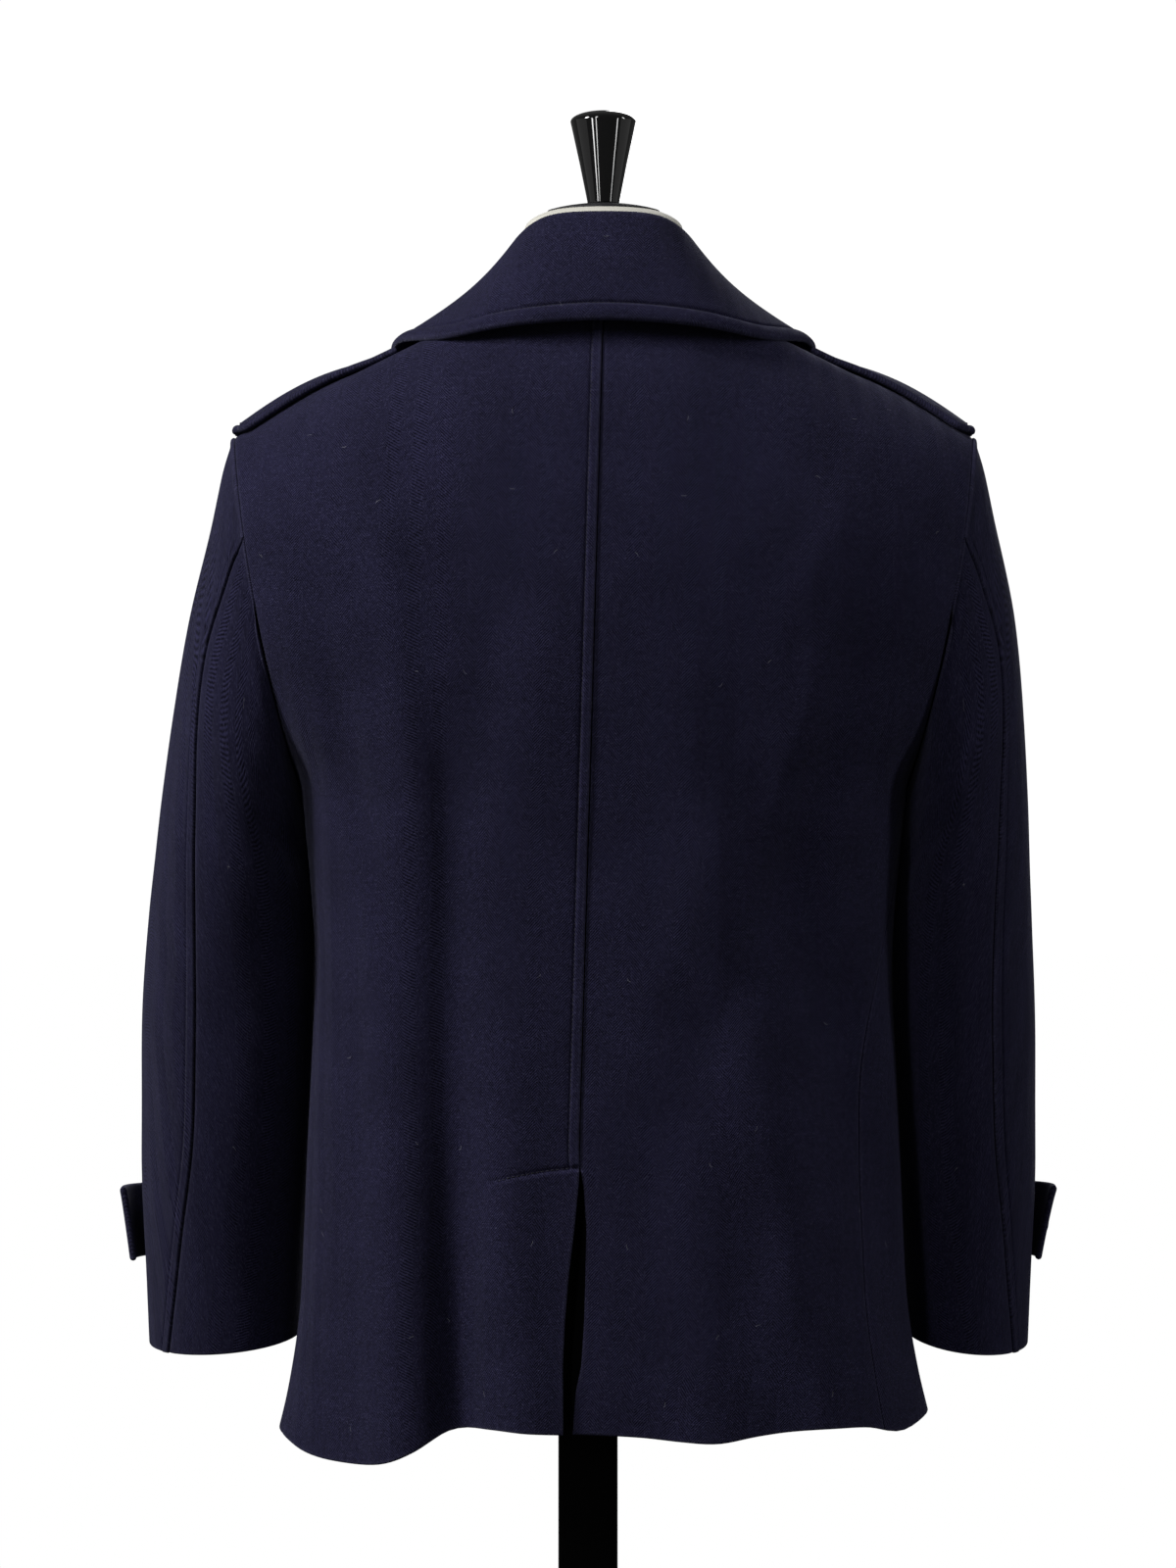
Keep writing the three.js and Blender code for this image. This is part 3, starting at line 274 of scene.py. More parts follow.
# One front: u goes from the side seam and armhole to the roll line and front edge.
def frontHalf(side):
    rows = []
    for row in body["rows"]:
        reach = math.degrees(math.asin((body["overlapEdge"] / row[1]) ** (body["fullness"] / 2)))
        rows.append(evenWalk(sectionPoint(row, mix(sideSeam(row[0], side) + 0.05, 180 + reach, rowShares))))
    for angle, inner, z, depth, power, flat in body["frontRows"]:
        edge = armholePoint(angle)
        x = mix(edge[0], inner, rowShares)
        along = np.clip((x - inner) / (edge[0] - inner), 0, 1)
        rows.append(evenWalk(np.stack([x, rowDepth(x, edge, depth, power, flat), z + (edge[2] - z) * along ** body["frontBend"]], 1)))
    x = mix(armhole["outerX"], body["neckHalf"], rowShares)
    rows.append(evenWalk(np.stack([x, np.full_like(x, body["shoulderLine"] - 0.15), seamHeight(x)], 1)))
    base = rowSurface(rows, lambda u: 1 - smooth(u, 0, 0.2))

    def surface(u, v):
        p = base(u, v)
        lapped = smooth(-p[..., 0], -112, -84) * smooth(-p[..., 1], 40, 90) if side < 0 else 0
        p = p * (side, 1, 1)
        p[..., 1] += lapped * body["layerStep"]
        return folded(p)

    return surface


backLeftBase, backRightBase, frontLeft, frontRight = backHalf(1), backHalf(-1), frontHalf(1), frontHalf(-1)


# Grid of a piece: columns at the marks' distances from both edges and even between them. Returns the
# parameter across, and the distance of each point from the low and the high edge.
def columns(surface, low, high, v, marks, count):
    share = np.linspace(0, 1, 161)
    low, high = np.broadcast_to(low, v.shape), np.broadcast_to(high, v.shape)
    across = mix(low[:, None], high[:, None], share)
    run = runOf(surface(across, v[:, None]), 1)
    length = run[:, -1:]
    near, far = (np.array(m, float) for m in marks)
    between = np.linspace(0, 1, count + 2)[1:-1]
    goal = np.concatenate([
        np.broadcast_to(near, (len(v), len(near))),
        near[-1] + between * (length - near[-1] - far[-1]),
        length - far[::-1],
    ], 1)
    step = run.max() * 2
    row = np.arange(len(v))[:, None] * step
    found = np.interp((goal + row).ravel(), (run + row).ravel(), np.broadcast_to(share, run.shape).ravel())
    found = found.reshape(goal.shape)
    found[:, 0], found[:, -1] = 0, 1
    return mix(low[:, None], high[:, None], found), goal, length - goal


def gridNormals(p, sign):
    across, up = np.gradient(p, axis=1), np.gradient(p, axis=0)
    return unitVectors(np.cross(across, up)) * sign


# Normals of a surface at any points, from small steps to each side.
def pointNormals(surface, a, v, sign, stepA, stepV):
    across = surface(a + stepA, v) - surface(a - stepA, v)
    up = surface(a, v + stepV) - surface(a, v - stepV)
    return unitVectors(np.cross(across, up)) * sign


# How far a face drops towards its rim: a quarter circle of half the thickness.
def edgeRound(p, thickness):
    across, up = runOf(p, 1), runOf(p, 0)
    rim = np.minimum(np.minimum(across, across[:, -1:] - across), np.minimum(up, up[-1:] - up))
    radius = thickness / 2
    left = 1 - np.minimum(rim, radius) / radius
    return 0.9 * radius * (1 - np.sqrt(1 - left**2)), rim


# A mesh object from points in millimetres, its faces turned outwards by the sign of its volume.
def meshFrom(name, points, faces, look, uv=None, edge=None, move=coatCentre):
    points = np.asarray(points, float)
    faces = np.asarray(faces)
    corners = points[faces]
    fans = [(0, 1, 2)] if faces.shape[1] == 3 else [(0, 1, 2), (0, 2, 3)]
    volume = sum(np.einsum("ij,ij->", corners[:, a], np.cross(corners[:, b], corners[:, c])) for a, b, c in fans)
    if volume < 0:
        faces = faces[:, ::-1]
    mesh = bpy.data.meshes.new(name)
    mesh.from_pydata(((points + (move, 0, 0)) * unit).tolist(), [], faces.tolist())
    if uv is not None:
        layer = mesh.uv_layers.new(name="cloth")
        layer.data.foreach_set("uv", (uv[faces.ravel()] * unit).ravel().astype(np.float32))
    if edge is not None:
        mesh.attributes.new("edge", "FLOAT", "POINT").data.foreach_set("value", edge.ravel().astype(np.float32))
    mesh.shade_smooth()
    mesh.materials.append(look)
    piece = bpy.data.objects.new(name, mesh)
    bpy.context.scene.collection.objects.link(piece)
    return piece


# Quads of a closed wall: the outer grid, the inner grid turned over, and the strip round the rim.
def wallFaces(high, wide):
    index = np.arange(high * wide).reshape(high, wide)
    count = high * wide
    outer = np.stack([index[:-1, :-1], index[:-1, 1:], index[1:, 1:], index[1:, :-1]], -1).reshape(-1, 4)
    rim = np.concatenate([index[0, :-1], index[:-1, -1], index[-1, :0:-1], index[:0:-1, 0]])
    after = np.roll(rim, -1)
    strip = np.stack([rim, rim + count, after + count, after], -1)
    return np.concatenate([outer, outer[:, ::-1] + count, strip])


# each piece's longest row, longest walk up and area, in metres
cuts = {}


# A closed wall of cloth: the surface with its detail as outer face, a second face one thickness inside,
# both rounded to the rim. UV is the length along each row and the length walked up, less what the rows
# slide sideways.
def cutPiece(name, surface, low, high, v, sign, thickness, look, detail=None, marks=None, count=30, turnUv=False,
             fromMiddle=False):
    marks = marks or (edgeMarks, edgeMarks)
    v = np.asarray(v, float)
    a, fromLow, fromHigh = columns(surface, low, high, v, marks, count)
    p = surface(a, v[:, None])
    n = gridNormals(p, sign)
    drop, rim = edgeRound(p, thickness)
    lift = detail(fromLow, fromHigh, v[:, None], p) if detail else 0
    outer = p + n * (lift - drop)[..., None]
    inner = p + n * (0.5 * np.minimum(lift, 0) - thickness + drop)[..., None]
    along = np.gradient(p, axis=1)
    step = np.diff(p, axis=0)
    side = unitVectors(along)[:-1]
    straight = step - np.sum(step * side, -1, keepdims=True) * side
    walked = np.concatenate([np.zeros_like(a[:1]), np.cumsum(np.linalg.norm(straight, axis=-1), 0)])
    if fromMiddle:
        walked = walked - walked[len(walked) // 2]
    uv = np.stack([fromLow, walked], -1)
    if turnUv:
        uv = uv[..., ::-1]
    points = np.concatenate([outer.reshape(-1, 3), inner.reshape(-1, 3)])
    cell = np.linalg.norm(np.cross(p[:-1, 1:] - p[1:, :-1], p[1:, 1:] - p[:-1, :-1]), axis=-1) / 2
    cuts[name] = ((fromLow + fromHigh).max() * unit, np.ptp(walked, axis=0).max() * unit, cell.sum() * unit**2)
    print("  {}: {} points, cut {:.3f} by {:.3f} m, {:.4f} square metres".format(name, len(points), *cuts[name]))
    return meshFrom(name, points, wallFaces(*a.shape), look, np.tile(uv.reshape(-1, 2), (2, 1)), np.tile(rim.ravel(), 2))


edgeMarks = (0, 0.35, 0.8, 1.4, 2.3, 4.5)
seamMarks = (0, 0.35, 0.8, 1.4, 2.4, 3.8, 4.9, 5.6, 6.2, 6.8, 7.5, 8.6, 10.5)

thread = {"pitch": 3.3, "length": 2.5, "radius": 0.26, "sides": 6}
threadRows = []


# Keeps a row of stitches: short capsules at equal steps of the path, whose ends dive in.
def sew(path, normals):
    run = runOf(path, 0)
    count = int(run[-1] // thread["pitch"])
    if count < 1:
        return
    middle = (np.arange(count) + 0.5) * thread["pitch"]
    at = lambda values, s: np.stack([np.interp(s, run, values[:, k]) for k in range(3)], -1)
    ahead = unitVectors(at(path, middle + 0.5) - at(path, middle - 0.5))
    up = unitVectors(at(normals, middle))
    aside = unitVectors(np.cross(up, ahead))
    place = np.array([-1, -0.8, 0, 0.8, 1])
    wide = np.array([0.15, 0.75, 1, 0.75, 0.15])
    turn = np.linspace(0, 2 * math.pi, thread["sides"], endpoint=False)
    half, radius = thread["length"] / 2, thread["radius"]
    alongAxis = (place * half)[None, :, None, None] * ahead[:, None, None, :]
    ring = (wide * radius)[None, :, None, None] * (
        np.cos(turn)[None, None, :, None] * aside[:, None, None, :] + np.sin(turn)[None, None, :, None] * up[:, None, None, :])
    dive = (0.5 * radius * (1 - 2 * place**2))[None, :, None, None] * up[:, None, None, :]
    threadRows.append(at(path, middle)[:, None, None, :] + alongAxis + ring + dive)


# All kept stitches as one mesh: rings joined by quads, each end closed by its own small ring.
def threadPiece(name, look):
    rings = np.concatenate(threadRows)
    count, along, sides = rings.shape[:3]
    base = np.arange(along * sides).reshape(along, sides)
    turn = np.roll(base, -1, 1)
    tube = np.stack([base[:-1], base[1:], turn[1:], turn[:-1]], -1).reshape(-1, 4)
    ends = [[base[0, 0], base[0, 1], base[0, 2], base[0, 3]], [base[0, 0], base[0, 3], base[0, 4], base[0, 5]],
            [base[-1, 3], base[-1, 2], base[-1, 1], base[-1, 0]], [base[-1, 5], base[-1, 4], base[-1, 3], base[-1, 0]]]
    faces = np.concatenate([tube, np.array(ends)])
    every = (faces[None] + (np.arange(count) * along * sides)[:, None, None]).reshape(-1, 4)
    threadRows.clear()
    return meshFrom(name, rings.reshape(-1, 3), every, look)


# Line on a piece at a set distance from one edge, and the normals along it.
def pathOn(surface, low, high, v, sign, distance, detail=None, fromHigh=False, lift=0.0):
    v = np.asarray(v, float)
    share = np.linspace(0, 1, 321)
    low, high = np.broadcast_to(low, v.shape), np.broadcast_to(high, v.shape)
    across = mix(low[:, None], high[:, None], share)
    run = runOf(surface(across, v[:, None]), 1)
    goal = run[:, -1] - distance if fromHigh else np.broadcast_to(distance, v.shape)
    step = run.max() * 2
    row = np.arange(len(v)) * step
    found = np.interp(goal + row, (run + row[:, None]).ravel(), np.broadcast_to(share, run.shape).ravel())
    a = mix(low, high, found)
    p = surface(a, v)
    n = pointNormals(surface, a, v, sign, (high - low) * 0.004, 0.01 * (v.max() - v.min()) / 10)
    rise = detail(goal, run[:, -1] - goal, v, p) if detail else 0
    return p + n * (rise + lift + thread["radius"] * 0.4)[..., None] if np.ndim(rise) else p + n * (lift + 0.1), n


# Stitches along any line of the surface's own places, just proud of it.
def sewAlong(surface, a, v, sign, lift=0.0):
    p = surface(a, v)
    n = pointNormals(surface, a, v, sign, 0.004, 0.004)
    sew(p + n * (thread["radius"] * 0.4 + lift), n)


# A node's output; sums and products with numbers or other sockets add their Math nodes.
class Socket:
    def __init__(self, finish, link):
        self.finish, self.link = finish, link

    def math(self, operation, *values):
        return self.finish.add("ShaderNodeMath", {"operation": operation}, dict(enumerate(values)))

    def __add__(self, other): return self.math("ADD", self, other)
    def __radd__(self, other): return self.math("ADD", other, self)
    def __sub__(self, other): return self.math("SUBTRACT", self, other)
    def __rsub__(self, other): return self.math("SUBTRACT", other, self)
    def __mul__(self, other): return self.math("MULTIPLY", self, other)
    def __rmul__(self, other): return self.math("MULTIPLY", other, self)
    def __truediv__(self, other): return self.math("DIVIDE", self, other)
    def __gt__(self, other): return self.math("GREATER_THAN", self, other)
    def __lt__(self, other): return self.math("LESS_THAN", self, other)
    def __abs__(self): return self.math("ABSOLUTE", self)


# A material or world built from expressions; add() makes any node.
class Finish:
    def __init__(self, owner):
        owner.use_nodes = True
        self.owner, self.tree = owner, owner.node_tree
        self.tree.nodes.clear()

    def add(self, kind, settings=None, inputs=None, output=0):
        node = self.tree.nodes.new(kind)
        for key, value in (settings or {}).items():
            if key == "stops":
                while len(node.color_ramp.elements) < len(value):
                    node.color_ramp.elements.new(1)
                for element, (place, colour) in zip(node.color_ramp.elements, value):
                    element.position, element.color = place, (*colour, 1)
            else:
                setattr(node, key, value)
        for key, value in (inputs or {}).items():
            if isinstance(value, Socket):
                self.tree.links.new(value.link, node.inputs[key])
            else:
                node.inputs[key].default_value = value
        return Socket(self, node.outputs[output]) if node.outputs else None

    def noise(self, place, scale, detail=2, output=0, roughness=0.5):
        return self.add("ShaderNodeTexNoise", {}, {"Vector": place, "Scale": scale, "Detail": detail,
                                                   "Roughness": roughness}, output)

    def blend(self, factor, a, b, how="MIX"):
        return self.add("ShaderNodeMix", {"data_type": "RGBA", "blend_type": how}, {0: factor, 6: a, 7: b}, 2)

    # Principled surface with a bump from height in units of distance.
    def close(self, colour, roughness, height=None, distance=0.0002, strength=1.0, fixed=None):
        inputs = {"Base Color": colour, "Roughness": roughness, **(fixed or {})}
        if height is not None:
            inputs["Normal"] = self.add("ShaderNodeBump", {}, {"Height": height, "Distance": distance,
                                                               "Strength": strength})
        shader = self.add("ShaderNodeBsdfPrincipled", {}, inputs)
        self.add("ShaderNodeOutputMaterial", {}, {"Surface": shader})
        return self.owner


wool = {
    "column": 9.6,          # width of one slant of the herringbone, mm
    "pitch": 2.05,          # from one twill line to the next, mm
    "slant": 1.15,          # rise of a line across a column, as a share of its width
    "dark": (0.0025, 0.0022, 0.0065), "light": (0.0290, 0.0272, 0.0715), "nap": (0.085, 0.082, 0.150),
    "lint": (0.30, 0.30, 0.34), "sheen": 0.16,
}


# Herringbone: stripes of y + slant * |x folded into columns|, half a pitch apart in each second column,
# softened by a felted nap of noise, with a few pale hairs.
def woolCloth(name, tone=1.0):
    f = Finish(bpy.data.materials.new(name))
    cloth = f.add("ShaderNodeUVMap", {"uv_map": "cloth"})
    apart = f.add("ShaderNodeSeparateXYZ", {}, {0: cloth})
    x, y = apart * 1000, f.add("ShaderNodeSeparateXYZ", {}, {0: cloth}, 1) * 1000
    wander = f.noise(cloth, 60, 2) - 0.5
    x, y = x + wander * 1.6, y + (f.noise(cloth, 240, 2) - 0.5) * 0.9
    turn = (x / (2 * wool["column"])).math("FRACT", x / (2 * wool["column"]))
    second = turn > 0.5
    slope = abs(turn * 2 - 1) * (wool["column"] * wool["slant"])
    phase = (y + slope) / wool["pitch"] + second * 0.5
    line = phase.math("SINE", phase * (2 * math.pi)) * 0.5 + 0.5
    fuzz = f.noise(cloth, 760, 3, roughness=0.7)
    felt = f.noise(cloth, 260, 3)
    cloud = f.noise(cloth, 22, 3)
    thick = line * 0.74 + (fuzz - 0.5) * 0.85 + (felt - 0.5) * 0.8 + 0.11
    colour = f.blend(thick, (*wool["dark"], 1), (*wool["light"], 1))
    edge = f.add("ShaderNodeAttribute", {"attribute_name": "edge"}, {}, 2)
    worn = f.add("ShaderNodeMapRange", {"interpolation_type": "SMOOTHSTEP"}, {0: edge, 1: 0.0, 2: 3.5, 3: 0.3, 4: 0.0})
    napped = (fuzz > 0.60) * 0.35 + worn * fuzz
    colour = f.blend(napped, colour, (*wool["nap"], 1))
    shade = (cloud - 0.5) * 0.7 + tone
    colour = f.add("ShaderNodeVectorMath", {"operation": "SCALE"}, {0: colour, 3: shade})
    # pale hairs: in some cells, a thin bent line at the cell's own angle
    cells = {"voronoi_dimensions": "2D"}
    spot = {"Vector": cloth, "Scale": 34.0, "Randomness": 1.0}
    seed = f.add("ShaderNodeTexVoronoi", cells, spot, 1)
    middle = f.add("ShaderNodeTexVoronoi", cells, spot, 2)
    chance = f.add("ShaderNodeSeparateXYZ", {}, {0: seed})
    angle = f.add("ShaderNodeSeparateXYZ", {}, {0: seed}, 1) * 6.28
    offset = f.add("ShaderNodeVectorMath", {"operation": "SUBTRACT"}, {0: cloth, 1: middle})
    turned = f.add("ShaderNodeVectorRotate", {"rotation_type": "Z_AXIS"}, {"Vector": offset, "Angle": angle})
    along = f.add("ShaderNodeSeparateXYZ", {}, {0: turned}) * 1000
    across = f.add("ShaderNodeSeparateXYZ", {}, {0: turned}, 1) * 1000
    hair = (abs(across - along * along * 0.16) < 0.13) * (abs(along) < 1.7) * (chance > 0.87)
    colour = f.blend(hair * 0.55, colour, (*wool["lint"], 1))
    height = line * 0.55 + fuzz * 0.8 + felt * 0.5
    rough = fuzz * 0.1 + 0.86
    return f.close(colour, rough, height, 0.00035, 0.75, {
        "Sheen Weight": wool["sheen"], "Sheen Roughness": 0.42, "Sheen Tint": (0.55, 0.56, 0.78, 1),
        "Specular IOR Level": 0.06})


# Plain finish with a fine grain in its colour, roughness and height, on Object coordinates.
def grained(name, base, spread, scale, roughness, bump, fixed=None, stretch=(1, 1, 1), detail=3):
    f = Finish(bpy.data.materials.new(name))
    place = f.add("ShaderNodeTexCoord", {}, {}, 3)
    place = f.add("ShaderNodeMapping", {}, {"Vector": place, "Scale": stretch})
    grain, cloud = f.noise(place, scale, detail), f.noise(place, scale / 24, 2)
    colour = f.blend(grain * 0.7 + cloud * 0.3, (*base, 1), (*spread, 1))
    rough = (grain - 0.5) * roughness[1] + (cloud - 0.5) * roughness[1] + roughness[0]
    return f.close(colour, rough, grain, bump, 1.0, fixed)


# Fine knit: wales and courses as two waves on Object coordinates.
def jersey(name, base, shade, pitch):
    f = Finish(bpy.data.materials.new(name))
    place = f.add("ShaderNodeTexCoord", {}, {}, 3)
    x = f.add("ShaderNodeSeparateXYZ", {}, {0: place}) * (1000 / pitch * 2 * math.pi)
    y = f.add("ShaderNodeSeparateXYZ", {}, {0: place}, 1) * (1000 / pitch * 2 * math.pi)
    z = f.add("ShaderNodeSeparateXYZ", {}, {0: place}, 2) * (1000 / pitch * 2 * math.pi)
    wale = (x + y).math("SINE", x + y)
    course = z.math("SINE", z + wale)
    knit = wale * 0.25 + course * 0.25 + 0.5
    fuzz = f.noise(place, 900, 2)
    colour = f.blend(knit * 0.6 + fuzz * 0.4, (*shade, 1), (*base, 1))
    return f.close(colour, 0.85 + fuzz * 0.1, knit * 0.6 + fuzz * 0.4, 0.00015, 0.8,
                   {"Sheen Weight": 0.15, "Specular IOR Level": 0.25})


looks = {
    "wool": woolCloth("navyHerringboneWool"),
    # near-black cloth of the vent's under layer: painted shade for the dark inside the vent
    "liningPaintedShade": grained("ventPaintedShadeBlack", (0.0010, 0.0010, 0.0014), (0.0020, 0.0020, 0.0028), 900, (0.75, 0.1), 0.00005,
                      {"Specular IOR Level": 0.04}),
    "thread": grained("navyThread", (0.010, 0.010, 0.022), (0.022, 0.021, 0.044), 1500, (0.6, 0.1), 0.00006),
    "button": grained("navyPlastic", (0.0045, 0.0046, 0.0085), (0.012, 0.012, 0.021), 260, (0.28, 0.12), 0.00004,
                      {"Coat Weight": 0.25, "Coat Roughness": 0.12}),
    "jersey": jersey("creamJersey", (0.84, 0.82, 0.74), (0.70, 0.68, 0.60), 1.1),
    "trim": grained("blackPiping", (0.006, 0.006, 0.008), (0.014, 0.014, 0.018), 900, (0.6, 0.1), 0.0001),
    "lacquer": grained("glossBlackLacquer", (0.0020, 0.0020, 0.0022), (0.0032, 0.0032, 0.0035), 60, (0.05, 0.02),
                       0.00001, {"Coat Weight": 1.0, "Coat Roughness": 0.03}),
    "stand": grained("blackPowderPaint", (0.0005, 0.0005, 0.0005), (0.0014, 0.0014, 0.0014), 1400, (0.7, 0.14),
                     0.00008, {"Specular IOR Level": 0.04}),
}


# The piece rides with the object and stands for its CAD node, which it hides.
def dress(piece, node):
    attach(piece, "root")
    piece.name in cuts
    if node:
        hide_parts(node)
    return piece


vent = {
    # how far each edge of the open vent lies from the seam line, by height: (z, left, right)
    "gap": [(690, 4.5, 1.0), (702, 4.6, 1.6), (725, 5.4, 2.4), (741, 6.1, 5.5), (771, 5.7, 6.5), (802, 4.0, 6.3),
            (832, 1.2, 6.0), (858, -0.6, 3.4), (872, -1.0, 0.6), (884, 0, 0)],
    "line": [(12, 871.5), (22, 870.3), (42, 868.0), (62, 864.4), (75, 860.2)],
    "swing": 3.5, "depth": 9.0, "reach": 34,
}
gapZ, gapLeft, gapRight = np.array(vent["gap"]).T
lineX, lineZ = np.array(vent["line"]).T


# The left half, its vent edge swung out a little and drawn back from the seam line.
def backLeft(u, v):
    p = backLeftBase(u, v)
    x, y, z = p[..., 0], p[..., 1], p[..., 2]
    below = smooth(body["ventTop"] + 20 - z, 0, 150)
    near = np.exp(-np.clip(u, 0, 1) * 6)
    return np.stack([x + np.interp(z, gapZ, gapLeft) * near, y + vent["swing"] * below * bell(u * 8, 1), z], -1)


def backRight(u, v):
    p = backRightBase(u, v)
    x, y, z = p[..., 0], p[..., 1], p[..., 2]
    near = np.exp(-np.clip(u, 0, 1) * 7)
    below = smooth(body["ventTop"] - z, 0, 60)
    return np.stack([x - np.interp(z, gapZ, gapRight) * near, y - 1.6 * below * bell(u * 14, 1), z], -1)


# The lapped seam stands up as far as its stitching; the vent's stitched line is a groove.
def backLeftDetail(fromSeam, fromSide, v, p):
    x, z = p[..., 0], p[..., 2]
    above = smooth(z, body["ventTop"] - 3, body["ventTop"])
    lap = 1.6 * (1 - smooth(fromSeam, 5.4, 6.8)) - 0.9 * bell(fromSeam - 6.4, 0.9)
    down = np.interp(x, lineX, lineZ) - z
    held = smooth(x, 11, 13) * (1 - smooth(x, 73, 77))
    groove = -1.4 * bell(down, 1.3) * held
    under = 1.8 * smooth(down, 0.3, 3) * (1 - smooth(down, 30, 150)) * (1 - smooth(x, 60, 80))
    sideDip = -0.5 * np.exp(-fromSide / 2.5)
    return lap * above + groove + under + sideDip


# It goes under the left half at the seam.
def backRightDetail(fromSeam, fromSide, v, p):
    return -0.9 * np.exp(-fromSeam / 1.6) * smooth(p[..., 2], 868, 880) - 0.5 * np.exp(-fromSide / 2.5)


hemSteps = [0, 0.012, 0.03, 0.06, 0.12, 0.22]
ventSteps = np.linspace(3.68, 4.08, 21)
backSteps = np.concatenate([hemSteps, np.linspace(0.34, 3.6, 28), ventSteps, np.linspace(4.16, shoulderRow - 0.12, 112),
                            [shoulderRow - 0.05, shoulderRow]])
print("back")
backLeftPiece = cutPiece("back_left_panel", backLeft, 0, 1, backSteps, -1, body["wall"], looks["wool"],
                         backLeftDetail, (seamMarks, edgeMarks), 40)
backRightPiece = cutPiece("back_right_panel", backRight, 0, 1, backSteps, 1, body["wall"], looks["wool"],
                          backRightDetail, (seamMarks, edgeMarks), 40)
dress(backLeftPiece, "back_left")
dress(backRightPiece, "back_right")

seamRun = np.linspace(ventRow + 0.02, shoulderRow - 0.02, 260)
sew(*pathOn(backLeft, 0, 1, seamRun, -1, 6.4, backLeftDetail))
vGrid, uGrid = np.meshgrid(np.arange(3.4, 4.4, 0.004), np.arange(0, 0.5, 0.002), indexing="ij")
places = backLeft(uGrid, vGrid)
ventX = np.linspace(14, 73, 26)
best = [np.argmin(np.hypot(places[..., 0] - x, places[..., 2] - z)) for x, z in zip(ventX, np.interp(ventX, lineX, lineZ))]
sewAlong(backLeft, uGrid.ravel()[best], vGrid.ravel()[best], -1, -0.9)


# The vent's under layer: a strip behind both edges, from the right one far under the left. Its near-black colour is
# painted shade, standing in for the dark inside the vent.
def ventFacing(u, v):
    z = mix(body["hem"] + 4, body["ventTop"] + 3, v)
    seamX = driftAt(z)
    row = np.clip(np.interp(z, [r[0] for r in body["rows"]], np.arange(len(body["rows"]))), 0, underarmRow)
    across = mix(-np.interp(z, gapZ, gapRight) - 5, vent["reach"], u)
    left = backLeftBase(np.maximum(across, 0) / 262, row)
    right = backRightBase(np.maximum(-across, 0) / 250, row)
    y = np.where(across >= 0, left[..., 1], right[..., 1])
    drop = np.where(across >= 0, left[..., 2], right[..., 2])
    return np.stack([seamX + across, y - vent["depth"], drop], -1)


facing = cutPiece("vent_facing", ventFacing, 0, 1, np.linspace(0, 1, 60), -1, 1.6, looks["liningPaintedShade"], None,
                  (edgeMarks, edgeMarks), 10)
dress(facing, "back_right")

frontSteps = np.concatenate([hemSteps, np.linspace(0.34, frontTopRow - 0.12, 140), [frontTopRow - 0.05, frontTopRow]])


# Topstitching 7 mm from the front edge, and a dip at the side seam.
def frontDetail(fromSide, fromEdge, v, p):
    below = 1 - smooth(v, 12.5, 13.2)
    return (-0.6 * bell(fromEdge - 7, 0.9) * below + 0.5 * (1 - smooth(fromEdge, 5.5, 7.5)) * below
            - 0.5 * np.exp(-fromSide / 2.5))


print("fronts")
for name, surface, sign in (("left", frontLeft, -1), ("right", frontRight, 1)):
    panel = cutPiece(f"front_{name}_panel", surface, 0, 1, frontSteps, sign, body["wall"], looks["wool"],
                     frontDetail, (edgeMarks, seamMarks), 40)
    dress(panel, f"front_{name}")
    sew(*pathOn(surface, 0, 1, np.linspace(0.2, 12.4, 240), sign, 7, frontDetail, fromHigh=True))

lapels = {
    "left": [(12.15, 0, 4), (13, 0, 34), (14, 0, 74), (15, 0, 112), (15.6, 0, 66), (16, 0, 44), (16.8, 0, 10)],
    "right": [(13.9, 42, 68), (14.3, 22, 84), (14.7, 0, 100), (15, 0, 112), (15.6, 0, 66), (16, 0, 44),
              (16.8, 0, 10)],
}


# The strip beside the roll line on the front's own surface, moved out, most at the roll.
def lapelSurface(front, table, sign):
    rowsAt = np.linspace(11, frontTopRow, 200)
    lengths = runOf(front(np.linspace(0, 1, 60)[None], rowsAt[:, None]), 1)[:, -1]

    def surface(q, place):
        q, place = np.broadcast_arrays(q, place)
        row = tableAt(table, place)
        across = mix(row[..., 1], row[..., 2], q)
        u = 1 - across / np.interp(row[..., 0], rowsAt, lengths)
        n = pointNormals(front, np.clip(u, 0.005, 0.995), row[..., 0], sign, 0.004, 0.03)
        out = body["doubled"] + 0.8 + 2.4 * np.exp(-across / 14)
        return front(u, row[..., 0]) + n * out[..., None]

    return surface


# A stitched line at a distance from the second edge, and the puffed band outside it.
def bandDetail(width, sink=0.7, puff=0.6):

    def detail(fromLow, fromHigh, v, p):
        return -sink * bell(fromHigh - width, 1.0) + puff * np.sin(math.pi * np.clip(fromHigh / width, 0, 1))

    return detail


for name, front, sign in (("left", frontLeft, -1), ("right", frontRight, 1)):
    surface = lapelSurface(front, lapels[name], sign)
    lapel = cutPiece(f"lapel_{name}_cloth", surface, 0, 1, np.linspace(0, 6, 70), -sign, body["doubled"],
                     looks["wool"], bandDetail(6), (edgeMarks, edgeMarks), 26)
    dress(lapel, f"lapel_{name}")
    sew(*pathOn(surface, 0, 1, np.linspace(0.2, 5.8, 200), -sign, 6, bandDetail(6), fromHigh=True))

